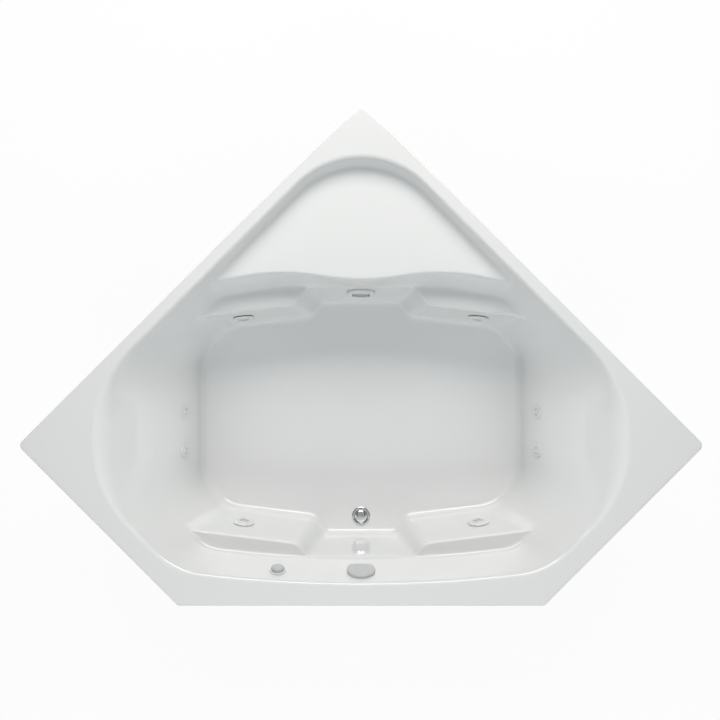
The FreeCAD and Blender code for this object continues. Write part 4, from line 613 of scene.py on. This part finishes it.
def shell_stations(shape, angles, detail):
    """The profile from the lip's lower edge to the floor's middle, as (reach, height) rows."""
    out = {}

    def ring(kind, depth, grow=0.0):
        """How far out one of the outlines is, worked out once for each depth."""
        key = (kind, round(depth, 3), grow)
        if key not in out:
            points = deck_edge(grow) if kind is deck_edge else kind(depth)
            out[key] = seen_from_heart(points, angles)
        return out[key]

    def row(reach, depth):
        return np.stack((reach, np.zeros_like(angles) - depth))

    def at(kind, depth):
        return row(ring(kind, depth), depth)

    rows = [row(ring(deck_edge, 0.0), depth) for depth in (LIP, LIP * 0.4)]
    for i in range(detail + 1):
        turn = math.pi / 2 * i / detail
        grow = round(LIP_ROUND * (math.cos(turn) - 1.0), 4)
        rows.append(row(ring(deck_edge, 0.0, grow), LIP_ROUND * (1.0 - math.sin(turn))))
    edge, rim = ring(deck_edge, 0.0, -LIP_ROUND), ring(mouth, 0.0)
    rows += [row(part_way(edge, rim, share), 0.0) for share in (0.12, 0.5, 0.88)]
    turns = 14 if detail > 3 else 6
    rows += [at(mouth, SOFT * (1.0 - math.cos(math.pi / 2 * i / turns))) for i in range(turns + 1)]

    ledge_width = ring(upper_well, LEDGE) - ring(lower_well, LEDGE)
    shelf_width = ring(mouth, SHELF) - ring(upper_well, SHELF)
    on_shelf = smooth_step(shelf_width, 0.0, 30.0)
    on_ledge = smooth_step(ledge_width, 0.0, 22.0)

    def blended(kind, depth, spread, weight):
        """A corner of the profile that slips along the wall where there is no step."""
        reach = part_way(ring(kind, depth + spread), ring(kind, depth), weight)
        return np.stack((reach, -(depth + spread * (1.0 - weight))))

    shelf_back = blended(mouth, SHELF, -5.0, on_shelf)
    shelf_front = blended(upper_well, SHELF, 5.0, on_shelf)
    ledge_back = blended(upper_well, LEDGE, -7.0, on_ledge)
    ledge_front = blended(lower_well, LEDGE, 7.0, on_ledge)
    foot = at(lower_well, WELL)
    middle = np.stack((np.zeros_like(angles), np.zeros_like(angles) - WELL))

    rows.append(at(mouth, 33.0))
    rows += fillet(rows[-1], shelf_back, shelf_front, shape.shelf_cove / MM, 0.8, 0.45, detail)
    rows.append(part_way(shelf_back, shelf_front, 0.5))
    upper = at(upper_well, 74.0)
    rows += fillet(shelf_back, shelf_front, upper, shape.wave_edge / MM, 0.45, 0.8, detail)
    rows += [upper, at(upper_well, 98.0), at(upper_well, 122.0)]
    rows += fillet(rows[-1], ledge_back, ledge_front, shape.ledge_cove / MM, 0.8, 0.45, detail)
    rows.append(part_way(ledge_back, ledge_front, 0.5))
    lower = at(lower_well, 184.0)
    rows += fillet(ledge_back, ledge_front, lower, shape.arm_edge / MM, 0.45, 0.8, detail)
    rows += [lower] + [at(lower_well, depth) for depth in np.arange(212.0, 381.0, 28.0)]
    cove_foot = part_way(foot, middle, 0.2)
    rows += fillet(rows[-1], foot, cove_foot, shape.floor_cove / MM, 0.9, 0.9, detail + 3)
    rows += [part_way(foot, middle, share) for share in (0.2, 0.45, 0.7, 0.88)]
    return rows


def grid_points(rows, angles):
    """Rows of (reach, height) turned into points of the bath, in metres."""
    table = np.array(rows)
    x = HEART[0] + table[:, 0] * np.cos(angles)
    y = HEART[1] + table[:, 0] * np.sin(angles)
    return np.stack((x * MM, y * MM, RIM + table[:, 1] * MM), axis=2)


def grid_normals(points):
    """Normals towards the side that is seen, at every point of a grid that closes on itself."""
    around = np.roll(points, -1, axis=1) - np.roll(points, 1, axis=1)
    down = np.gradient(points, axis=0)
    normal = np.cross(around, down)
    size = np.linalg.norm(normal, axis=2, keepdims=True)
    return normal / np.maximum(size, 1e-12)


def layer(name, shape, angles, inner, outer, detail):
    """A closed layer of the shell between two depths behind its face."""
    rows = shell_stations(shape, angles, detail)
    face = grid_points(rows, angles)
    normals = grid_normals(face)
    picks = list(range(0, len(rows), 2 if detail > 3 else 1))
    if picks[-1] != len(rows) - 1:
        picks.append(len(rows) - 1)
    behind = (face - normals * outer)[picks]
    face = face - normals * inner
    behind[0, :, 2] = face[0, :, 2]
    count = len(angles)
    back_start = len(rows) * count
    verts = [tuple(point) for grid in (face, behind) for point in grid.reshape(-1, 3)]
    verts += [(HEART[0] * MM, HEART[1] * MM, FLOOR - depth) for depth in (inner, outer)]
    faces = []

    def sheet(start, row_count, flip):
        for i in range(row_count - 1):
            for j in range(count):
                k = (j + 1) % count
                above, below = start + i * count, start + (i + 1) * count
                quad = (above + j, above + k, below + k, below + j)
                faces.append(quad[::-1] if flip else quad)

    sheet(0, len(rows), False)
    sheet(back_start, len(picks), True)
    last, under = back_start - count, back_start + (len(picks) - 1) * count
    for j in range(count):
        k = (j + 1) % count
        faces.append((last + j, last + k, len(verts) - 2))
        faces.append((under + k, under + j, len(verts) - 1))
        faces.append((k, j, back_start + j, back_start + k))
    return mesh_piece(name, verts, faces)


# ---------------------------------------------------------------------------
# Meshes and pieces
# ---------------------------------------------------------------------------

def in_scene(name, data):
    """A new object in the scene."""
    made = bpy.data.objects.new(name, data)
    bpy.context.scene.collection.objects.link(made)
    return made


def mesh_piece(name, verts, faces):
    mesh = bpy.data.meshes.new(name)
    mesh.from_pydata(verts, [], faces)
    mesh.validate()
    mesh.update()
    return in_scene(name, mesh)


def edit_mesh(mesh, *steps):
    """Runs functions on an open copy of a mesh and puts the result back."""
    made = bmesh.new()
    made.from_mesh(mesh)
    for step in steps:
        step(made)
    made.to_mesh(mesh)
    made.free()


def face_outwards(made):
    bmesh.ops.recalc_face_normals(made, faces=made.faces)


def smoothed(piece, angle=32.0):
    """Smooth shading that keeps edges sharper than the angle."""
    piece.data.shade_smooth()
    piece.data.set_sharp_from_angle(angle=math.radians(angle))
    return piece


def settled(piece):
    """Turns a piece's modifiers into plain mesh."""
    graph = bpy.context.evaluated_depsgraph_get()
    graph.update()
    mesh = bpy.data.meshes.new_from_object(piece.evaluated_get(graph))
    piece.modifiers.clear()
    old, piece.data = piece.data, mesh
    bpy.data.meshes.remove(old)
    return piece


def discard(piece):
    mesh = piece.data
    bpy.data.objects.remove(piece)
    if mesh.users == 0:
        bpy.data.meshes.remove(mesh)


def finish_piece(piece, finish, body, nodes=()):
    """Gives a piece its material and its place among the moving bodies."""
    piece.data.materials.clear()
    piece.data.materials.append(FINISHES[finish])
    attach(piece, body)
    if nodes:
        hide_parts(*nodes)
    return piece


def facing(point, into):
    """A place on a wall: Z into the water, Y up the wall."""
    into = Vector(into).normalized()
    side = Vector((0, 0, 1)).cross(into).normalized()
    upward = into.cross(side)
    turn = Matrix((side, upward, into)).transposed().to_4x4()
    return Matrix.Translation(point) @ turn


def spot(place, x, y, z):
    """A point given in millimetres from a place."""
    return place @ Vector((x * MM, y * MM, z * MM))


def joint_place(name):
    joint = JOINTS[name]
    return facing(Vector(joint["pos_m"]), joint["axis"])


def softened(profile, reach=0.6, count=3):
    """A closed profile in millimetres with its corners rounded off."""
    points = [Vector((r, z)) for r, z in profile]
    result = []
    for i, corner in enumerate(points):
        before, after = points[i - 1], points[(i + 1) % len(points)]
        if corner.x < 1e-6:
            result.append(corner)
            continue
        first = corner + (before - corner) * min(0.45, reach / max((before - corner).length, 1e-6))
        last = corner + (after - corner) * min(0.45, reach / max((after - corner).length, 1e-6))
        for step in range(count + 1):
            t = step / count
            result.append(first * (1 - t) ** 2 + corner * 2 * t * (1 - t) + last * t * t)
    return result


def turned(name, profile, place, segments=96, reach=0.6, ripple=None):
    """A turned piece from a closed profile of (radius, height) in millimetres.

    ripple(turn, radius, height) may move a point out or in, for flutes and grips.
    """
    points = softened(profile, reach)
    verts, rows = [], []
    for point in points:
        if point.x < 1e-6:
            rows.append([len(verts)] * segments)
            verts.append(spot(place, 0.0, 0.0, point.y))
            continue
        row = []
        for j in range(segments):
            turn = 2 * math.pi * j / segments
            radius = point.x + (ripple(turn, point.x, point.y) if ripple else 0.0)
            row.append(len(verts))
            verts.append(spot(place, radius * math.cos(turn), radius * math.sin(turn), point.y))
        rows.append(row)
    faces = []
    for i, row in enumerate(rows):
        following = rows[(i + 1) % len(rows)]
        if row[0] == row[1] and following[0] == following[1]:
            continue
        for j in range(segments):
            k = (j + 1) % segments
            corners = tuple(dict.fromkeys((row[j], row[k], following[k], following[j])))
            if len(corners) > 2:
                faces.append(corners)
    piece = mesh_piece(name, [tuple(v) for v in verts], faces)
    edit_mesh(piece.data, face_outwards)
    return smoothed(piece)


def cut(piece, cutters):
    """Cuts other meshes out of a piece, and removes them."""
    for cutter in cutters:
        step = piece.modifiers.new("Cut", "BOOLEAN")
        step.operation = "DIFFERENCE"
        step.solver = "EXACT"
        step.object = cutter
    settled(piece)
    for cutter in cutters:
        discard(cutter)
    return piece


def prism(name, ring, start, end, place):
    """A plain cutter with an outline in millimetres, between two heights on a place's Z."""
    count = len(ring)
    verts = [tuple(spot(place, x, y, z)) for z in (start, end) for x, y in ring]
    faces = [tuple(reversed(range(count))), tuple(range(count, 2 * count))]
    faces += [(j, (j + 1) % count, count + (j + 1) % count, count + j) for j in range(count)]
    return mesh_piece(name, verts, faces)


def drill(radius, start, end, place, segments=64):
    """A cutter for a round hole."""
    turns = [2 * math.pi * j / segments for j in range(segments)]
    ring = [(radius * math.cos(turn), radius * math.sin(turn)) for turn in turns]
    return prism("Drill", ring, start, end, place)


def slot_cutter(half_width, half_length, start, end, place, offset, steps=8):
    """A cutter for a slot with round ends."""
    ring = []
    straight = half_length - half_width
    for side in (1, -1):
        for i in range(steps + 1):
            turn = math.pi * i / steps
            ring.append((offset + half_width * math.cos(turn) * side,
                         straight * side + half_width * math.sin(turn) * side))
    return prism("SlotCutter", ring, start, end, place)


# ---------------------------------------------------------------------------
# Repeats, made with Geometry Nodes
# ---------------------------------------------------------------------------

def repeat_tree(name, finish):
    """A tree that sets copies of one piece round a circle."""
    group = bpy.data.node_groups.new(name, "GeometryNodeTree")
    for label, kind in (("Geometry", "Geometry"), ("Radius", "Float"), ("Start Turn", "Float"),
                        ("Copy Turn", "Float"), ("Count", "Int"), ("Piece", "Object")):
        group.interface.new_socket(label, in_out="INPUT", socket_type="NodeSocket" + kind)
    group.interface.new_socket("Geometry", in_out="OUTPUT", socket_type="NodeSocketGeometry")
    tree = Tree(group)
    given = tree.node("NodeGroupInput")
    count = given.part("Count")
    circle = tree.node("GeometryNodeMeshCircle", {}, {"Vertices": count, "Radius": given.part("Radius")})
    source = tree.node("GeometryNodeObjectInfo", {"transform_space": "ORIGINAL"},
                       {"Object": given.part("Piece")}, "Geometry")
    turn = tree.node("GeometryNodeInputIndex").math("DIVIDE", count) * (2 * math.pi)
    turns = tree.node("ShaderNodeCombineXYZ", {}, {"Z": turn + given.part("Copy Turn")})
    copies = tree.node("GeometryNodeInstanceOnPoints", {},
                       {"Points": circle, "Instance": source, "Rotation": turns})
    start = tree.node("ShaderNodeCombineXYZ", {}, {"Z": given.part("Start Turn")})
    spun = tree.node("GeometryNodeTransform", {}, {"Geometry": copies, "Rotation": start})
    real = tree.node("GeometryNodeRealizeInstances", {}, {"Geometry": spun})
    coat = tree.node("GeometryNodeSetMaterial", {}, {"Geometry": real, "Material": finish})
    tree.node("NodeGroupOutput", {}, {0: coat})
    return group


def ring_of(name, original, place, finish, **values):
    """Copies of one small piece round a circle, as one plain mesh in its place."""
    holder = mesh_piece(name, [(0, 0, 0)], [])
    group = repeat_tree(name + " repeat", FINISHES[finish])
    step = holder.modifiers.new("Repeat", "NODES")
    step.node_group = group
    sockets = {item.name: item.identifier for item in group.interface.items_tree if item.in_out == "INPUT"}
    for label, value in {"Piece": original, **values}.items():
        step[sockets[label.replace("_", " ")]] = value
    settled(holder)
    holder.data.transform(place)
    discard(original)
    return smoothed(holder)


# ---------------------------------------------------------------------------
# Fittings
# ---------------------------------------------------------------------------

SIDES = ("back_left", "back_right", "front_left", "front_right")

# Where the fixed fittings meet the wall or the floor, and the radii of the holes behind all of them
SUCTION = facing(Vector((0.0, 0.2219655, 0.298)), (0.0, -0.99659, 0.08248))
OVERFLOW = facing(Vector((0.0, -0.7019410, 0.4631289)), (0.0, 0.97664, 0.21486))
DRAIN = Matrix.Translation((0.0, -0.614, FLOOR))
JET_HOLE, BACK_JET_HOLE, KNOB_HOLE = 24.0, 17.0, 17.0
SUCTION_HOLE, OVERFLOW_HOLE, DRAIN_HOLE = 25.0, 27.0, 26.0
HOLE_DEPTH = 22.0


def make_jet(side, shape):
    """A jet's trim ring with three raised rings and six grips, and its ball."""
    place = joint_place(f"jet_trim_{side}_turn")
    rim = shape.jet_radius / MM

    def grips(turn, radius, _height):
        count, depth, share = 6, 1.9, 0.09
        if radius < rim - 2.5:
            return 0.0
        near = abs((turn * count / (2 * math.pi) + 0.5) % 1.0 - 0.5)
        return -depth * max(0.0, 1.0 - (near / share) ** 2)

    ring = turned("jet_ring_" + side, [
        (33.5, 2.2), (rim, 2.2), (rim, 3.6), (rim - 1.6, 5.2), (rim - 4.5, 6.5), (rim - 8.4, 7.0),
        (rim - 9.3, 5.5), (rim - 11.0, 5.4), (rim - 11.6, 6.6), (rim - 14.2, 6.9), (rim - 15.0, 5.7),
        (rim - 16.3, 5.7), (rim - 17.0, 8.2), (17.0, 10.3), (15.8, 10.6), (15.3, 9.6), (15.4, 8.0),
        (15.4, 4.8), (33.5, 4.8)], place, 160, 0.45, grips)
    finish_piece(ring, "white_plastic", "trim_" + side, ["jet_trim_" + side])

    ball = turned("jet_nozzle_" + side, sphere_profile(15.0, 3.0, shape.nozzle / MM), place, 96, 0.3)
    finish_piece(ball, "satin_plastic", "ball_" + side, ["jet_ball_" + side])


def sphere_profile(radius, centre, bore):
    """Half a ball with a way through it, a flat face and a flared mouth."""
    front = 0.72 * radius
    start = math.asin(front / radius)
    end = -math.acos(bore / radius)
    face = centre + front
    arc = [(radius * math.cos(a), centre + radius * math.sin(a)) for a in np.linspace(start, end, 22)]
    return [(bore, face - 3.4), (bore + 2.8, face - 0.5), (bore + 3.4, face)] + arc


def make_back_jet(side):
    """A small two-hole rotor."""
    place = joint_place(f"back_jet_{side}_spin")
    rotor = turned("back_jet_disc_" + side, [
        (0, -6), (13, -6), (13, 2.4), (11.9, 3.7), (8.0, 4.5), (0, 4.8)], place, 96, 0.8)
    holes = [drill(3.4, -4.0, 9.0, place @ Matrix.Translation((0.0075 * way, 0, 0)), 32) for way in (-1, 1)]
    cut(rotor, holes)
    smoothed(rotor)
    finish_piece(rotor, "white_plastic", "rotor_" + side, ["back_jet_rotor_" + side])


def make_suction_cover(shape):
    """A domed cover with a row of upright slots."""
    cover = turned("suction_grille", [
        (45.4, 0.3), (50, 0.3), (50, 5.4), (49.0, 8.6), (46.0, 11.0), (41.0, 13.2), (34.0, 15.4),
        (20.0, 16.7), (0, 17), (0, 14.4), (20.0, 14.1), (33.0, 12.9), (40.0, 10.8), (45.4, 8.6)],
        SUCTION, 128, 0.8)
    pitch, reach = 9.0, 41.0
    rows = [pitch * (i - (shape.slots - 1) / 2) for i in range(shape.slots)]
    cut(cover, [slot_cutter(2.6, math.sqrt(reach ** 2 - x ** 2), 6.0, 30.0, SUCTION, x) for x in rows])
    smoothed(cover)
    finish_piece(cover, "white_plastic", "bath", ["suction_cover"])


def make_overflow_cover():
    """A domed D-shaped cover, flat side down, with a water gap under it."""
    cover = turned("overflow_plate", [
        (43.5, 0.2), (46, 0.2), (46, 7.2), (45.2, 9.6), (43.0, 10.9), (39.6, 11.3), (38.6, 10.7),
        (37.4, 10.8), (36.0, 11.7), (24.0, 12.6), (0, 13.0), (0, 10.2), (34.0, 9.2), (40.0, 8.6),
        (43.5, 6.6)], OVERFLOW, 160, 0.6)

    def cut_flat(made):
        split = bmesh.ops.bisect_plane(
            made, geom=list(made.verts) + list(made.edges) + list(made.faces), clear_outer=True,
            plane_co=spot(OVERFLOW, 0, -25, 0), plane_no=OVERFLOW.to_3x3() @ Vector((0, -1, 0)))
        rim = [item for item in split["geom_cut"] if isinstance(item, bmesh.types.BMEdge)]
        bmesh.ops.edgeloop_fill(made, edges=rim)

    edit_mesh(cover.data, cut_flat, face_outwards)
    smoothed(cover)
    finish_piece(cover, "satin_plastic", "bath", ["overflow_cover"])


def make_air_knob():
    """A round knob with finger flutes round its edge and a dished face."""
    place = joint_place("air_knob_turn")

    def flutes(turn, radius, height):
        count, depth = 12, 0.9
        if radius < 19.0 or height < 3.0:
            return 0.0
        return -depth * (0.5 - 0.5 * math.cos(turn * count)) ** 3

    knob = turned("air_control_knob", [
        (0, -20), (7.6, -20), (7.6, 3.8), (21, 3.8), (21, 10.6), (19.6, 13.6), (16.2, 15.6), (12.6, 16.0),
        (10.5, 14.9), (0, 14.2)], place, 144, 0.8, flutes)
    finish_piece(knob, "satin_plastic", "knob", ["air_knob"])


def make_drain():
    """The chrome flange with its seat, and the domed stopper."""
    flange = turned("drain_ring", [
        (19, -38), (25.7, -38), (25.7, 0.2), (36.5, 0.2), (36.2, 1.5), (34.6, 2.7), (31.6, 3.2), (27.9, 3.1),
        (25.4, 2.0), (24.3, 0.2), (24.3, -4), (22.0, -6.4), (19, -8)], DRAIN, 128, 0.5)
    finish_piece(flange, "chrome", "bath", ["drain_flange"])
    stopper = turned("drain_dome", [
        (0, -48), (3.5, -48), (3.5, -2.5), (20.5, -2.5), (23.3, -1), (23.5, 1.4), (22.6, 3.6), (19.6, 5.6),
        (14.0, 7.2), (7.0, 8.1), (0, 8.4)], DRAIN, 128, 0.9)
    finish_piece(stopper, "chrome", "stopper", ["drain_stopper"])


# ---------------------------------------------------------------------------
# What stands under the deck
# ---------------------------------------------------------------------------

# Nodes that a piece made above replaces, and the width of the softened edges on the others
VISIBLE = {"bath_shell", "suction_cover", "overflow_cover", "air_knob", "drain_flange", "drain_stopper"}
VISIBLE |= {f"{kind}_{side}" for kind in ("jet_trim", "jet_ball", "back_jet_rotor") for side in SIDES}
EDGES = {"plywood": 1.0, "foot_plastic": 1.6, "rubber": 0.4, "pvc": 0.6, "waste_plastic": 0.6}
OTHER_EDGES = 0.5


def merge_facets(made):
    bmesh.ops.remove_doubles(made, verts=made.verts, dist=1e-5)
    bmesh.ops.dissolve_limit(made, angle_limit=math.radians(1.0), verts=made.verts, edges=made.edges)


def dressed(node, finish):
    """A smooth copy of a node with its edges rounded off."""
    source = frame["nodes"][node]
    piece = in_scene(node + "_dressed", source.data.copy())
    edit_mesh(piece.data, merge_facets)
    step = piece.modifiers.new("Edges", "BEVEL")
    step.width = EDGES.get(finish, OTHER_EDGES) * MM
    step.segments = 2
    step.limit_method = "ANGLE"
    step.angle_limit = math.radians(40.0)
    settled(piece)
    smoothed(piece)
    return finish_piece(piece, finish, source["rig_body"], [node])


def hex_bolt(across, height, shank):
    """A flanged hexagon head on its shank, at the origin and looking along Z."""
    made = bmesh.new()

    def drum(sides, foot, top, low, high):
        middle = Matrix.Translation((0, 0, (low + high) / 2 * MM))
        bmesh.ops.create_cone(made, cap_ends=True, segments=sides, radius1=foot * MM, radius2=top * MM,
                              depth=(high - low) * MM, matrix=middle)

    drum(6, across, across * 0.96, 0.0, height)
    bmesh.ops.bevel(made, geom=list(made.edges), offset=0.25 * MM, segments=2, affect="EDGES")
    drum(24, across * 1.25, across * 1.15, 0.0, 1.2)
    drum(16, shank, shank, -6.0, 0.0)
    mesh = bpy.data.meshes.new("Bolt")
    made.to_mesh(mesh)
    made.free()
    return in_scene("Bolt", mesh)


ALONG_PUMP = Matrix.Translation((0.0, 0.4, 0.125)) @ Matrix.Rotation(-math.pi / 2, 4, "X")
BOLT_CIRCLE, BOLT_START, BOLT_TURN = 66.0 * MM, 0.2, 0.5


def make_pump_bolts(count):
    """Bolts that clamp the casing to the plate behind it."""
    place = ALONG_PUMP @ Matrix.Translation((0, 0, 9.5 * MM)) @ Matrix.Rotation(math.pi, 4, "X")
    bolts = ring_of("pump_bolts", hex_bolt(4.6, 3.4, 2.2), place, "steel", Count=count, Radius=BOLT_CIRCLE,
                    Start_Turn=BOLT_START, Copy_Turn=BOLT_TURN)
    finish_piece(bolts, "steel", "bath")


# ---------------------------------------------------------------------------
# Stage
# ---------------------------------------------------------------------------

GROUND_HALF, GROUND_GLOW = 9.0, 0.93
SKY_TINT, SKY_LIGHT = (0.97, 0.985, 1.0), 0.15
KEY_TINT, FILL_TINT, PLAIN_TINT = (1.0, 0.985, 0.96), (0.955, 1.0, 1.0), (1.0, 1.0, 1.0)
PHOTO_MIDDLE, PHOTO_HEIGHT, PHOTO_LENS = (-0.0036, -0.017), 2.0, 31.93


def area_light(name, place, aim, size, power, tint, glossy=True):
    data = bpy.data.lights.new(name, "AREA")
    data.shape = "RECTANGLE"
    data.size, data.size_y = size
    data.energy = power
    data.color = tint
    light = in_scene(name, data)
    light.location = place
    light.rotation_euler = (Vector(aim) - Vector(place)).to_track_quat("-Z", "Y").to_euler()
    light.visible_glossy = glossy


def white_to_camera(name, tint, share):
    """A pale surface that looks white to the camera and still holds the shadow."""
    paint = Paint(name)
    path = paint.node("ShaderNodeLightPath", output="Is Camera Ray")
    seen = (path + path.part("Is Glossy Ray") + path.part("Is Transmission Ray")).clamped()
    plain = paint.node("ShaderNodeBsdfDiffuse", {}, {"Color": (*tint, 1.0)})
    glow = paint.node("ShaderNodeEmission", {}, {"Color": (1.0, 1.0, 1.0, 1.0), "Strength": 1.0})
    return paint.end(paint.node("ShaderNodeMixShader", {}, {0: seen * share, 1: plain, 2: glow}))


def make_ground(tint):
    corners = [(x * GROUND_HALF, y * GROUND_HALF, 0) for x, y in ((-1, -1), (1, -1), (1, 1), (-1, 1))]
    ground = mesh_piece("Ground", corners, [(0, 1, 2, 3)])
    ground.data.materials.append(white_to_camera("Ground paint", tint, GROUND_GLOW))


def make_lamps():
    """The key lamp stands behind the bath, so that its coves shine towards the camera."""
    area_light("Key", (0.0, 2.8, RIM + 2.4), (0.0, -0.2, RIM), (3.6, 2.0), 131.0, KEY_TINT)
    area_light("Front fill", (0.0, -3.0, RIM + 2.4), (0.0, 0.0, RIM), (3.0, 1.6), 65.0, FILL_TINT, False)
    area_light("Overhead", (0.0, 0.0, RIM + 3.0), (0.0, 0.0, 0.0), (3.0, 3.0), 7.0, PLAIN_TINT)


def make_sky():
    """White to the camera, and a dim light to everything else."""
    world = bpy.data.worlds.new("Studio")
    bpy.context.scene.world = world
    world.use_nodes = True
    sky = Tree(world.node_tree)
    strength = sky.node("ShaderNodeLightPath", output="Is Camera Ray") * (1.0 - SKY_LIGHT) + SKY_LIGHT
    back = sky.node("ShaderNodeBackground", {}, {"Color": (*SKY_TINT, 1.0), "Strength": strength})
    sky.node("ShaderNodeOutputWorld", {}, {"Surface": back})


def make_camera():
    """Straight above the bath, as in the photo."""
    data = bpy.data.cameras.new("Photo")
    data.sensor_width = 36.0
    data.lens = PHOTO_LENS
    camera = in_scene("Photo", data)
    camera.location = (*PHOTO_MIDDLE, RIM + PHOTO_HEIGHT)
    bpy.context.scene.camera = camera
    bpy.context.scene.view_settings.view_transform = "Standard"


# ---------------------------------------------------------------------------
# Operators and panel
# ---------------------------------------------------------------------------

class BATH_OT_materials(bpy.types.Operator):
    """Make every finish of the bath"""
    bl_idname = "bath.materials"
    bl_label = "Materials"

    def execute(self, context):
        FINISHES.update(make_materials(context.scene.bath_colours))
        return {"FINISHED"}


class BATH_OT_shell(bpy.types.Operator):
    """Mould the acrylic shell and the glass-fibre layer behind it"""
    bl_idname = "bath.shell"
    bl_label = "Shell"

    def execute(self, context):
        shape = context.scene.bath_shape
        holes = [(joint_place(f"jet_trim_{side}_turn"), JET_HOLE) for side in SIDES]
        holes += [(joint_place(f"back_jet_{side}_spin"), BACK_JET_HOLE) for side in SIDES]
        holes += [(SUCTION, SUCTION_HOLE), (OVERFLOW, OVERFLOW_HOLE),
                  (joint_place("air_knob_turn"), KNOB_HOLE), (DRAIN, DRAIN_HOLE)]
        for name, rays, inner, outer, detail, finish in (
                ("bath_sheet", FINE_RAYS, 0.0, shape.sheet, 6, "acrylic"),
                ("bath_backing", FINE_RAYS // 2, shape.sheet + 0.00005, shape.backing, 3, "backing")):
            piece = layer(name, shape, ray_angles(rays), inner, outer, detail)
            cut(piece, [drill(radius, -HOLE_DEPTH, HOLE_DEPTH, place) for place, radius in holes])
            smoothed(piece, 40.0)
            finish_piece(piece, finish, "bath", ["bath_shell"])
        return {"FINISHED"}


class BATH_OT_jets(bpy.types.Operator):
    """Make the turning jets and the small back jets"""
    bl_idname = "bath.jets"
    bl_label = "Jets"

    def execute(self, context):
        for side in SIDES:
            make_jet(side, context.scene.bath_fittings)
            make_back_jet(side)
        return {"FINISHED"}


class BATH_OT_covers(bpy.types.Operator):
    """Make the suction cover, the overflow cover, the air knob and the drain"""
    bl_idname = "bath.covers"
    bl_label = "Covers and Drain"

    def execute(self, context):
        make_suction_cover(context.scene.bath_fittings)
        make_overflow_cover()
        make_air_knob()
        make_drain()
        return {"FINISHED"}


class BATH_OT_underside(bpy.types.Operator):
    """Dress the feet, boards, pump and pipework under the deck"""
    bl_idname = "bath.underside"
    bl_label = "Underside"

    def execute(self, context):
        slots = {item["node"]: item["material_slot"] for item in frame["record"]["subparts"]}
        for node in sorted(frame["nodes"]):
            if not frame["nodes"][node].get("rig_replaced") and node not in VISIBLE:
                dressed(node, slots[node])
        make_pump_bolts(context.scene.bath_fittings.bolts)
        return {"FINISHED"}


class BATH_OT_stage(bpy.types.Operator):
    """Set up the floor, the lights and the camera"""
    bl_idname = "bath.stage"
    bl_label = "Stage"

    def execute(self, context):
        make_ground(tuple(context.scene.bath_colours.floor))
        make_lamps()
        make_sky()
        make_camera()
        return {"FINISHED"}


OPERATORS = (BATH_OT_materials, BATH_OT_shell, BATH_OT_jets, BATH_OT_covers, BATH_OT_underside,
             BATH_OT_stage)


class BATH_PT_panel(bpy.types.Panel):
    """Lists the steps that dress the bath"""
    bl_label = "Corner Bath"
    bl_idname = "BATH_PT_panel"
    bl_space_type = "VIEW_3D"
    bl_region_type = "UI"
    bl_category = "Bath"

    def draw(self, context):
        for step in OPERATORS:
            self.layout.operator(step.bl_idname)
        for group in (context.scene.bath_shape, context.scene.bath_fittings, context.scene.bath_colours):
            for name in group.__annotations__:
                self.layout.prop(group, name)


GROUPS = (("bath_shape", BathShape), ("bath_fittings", FittingShape), ("bath_colours", BathColours))


def register():
    for name, group in GROUPS:
        bpy.utils.register_class(group)
        setattr(bpy.types.Scene, name, PointerProperty(type=group))
    for step in OPERATORS:
        bpy.utils.register_class(step)
    bpy.utils.register_class(BATH_PT_panel)


def unregister():
    bpy.utils.unregister_class(BATH_PT_panel)
    for step in reversed(OPERATORS):
        bpy.utils.unregister_class(step)
    for name, group in reversed(GROUPS):
        delattr(bpy.types.Scene, name)
        bpy.utils.unregister_class(group)


def main():
    register()
    bpy.ops.bath.materials()
    bpy.ops.bath.shell()
    bpy.ops.bath.jets()
    bpy.ops.bath.covers()
    bpy.ops.bath.underside()
    bpy.ops.bath.stage()


if __name__ == "__main__":
    main()
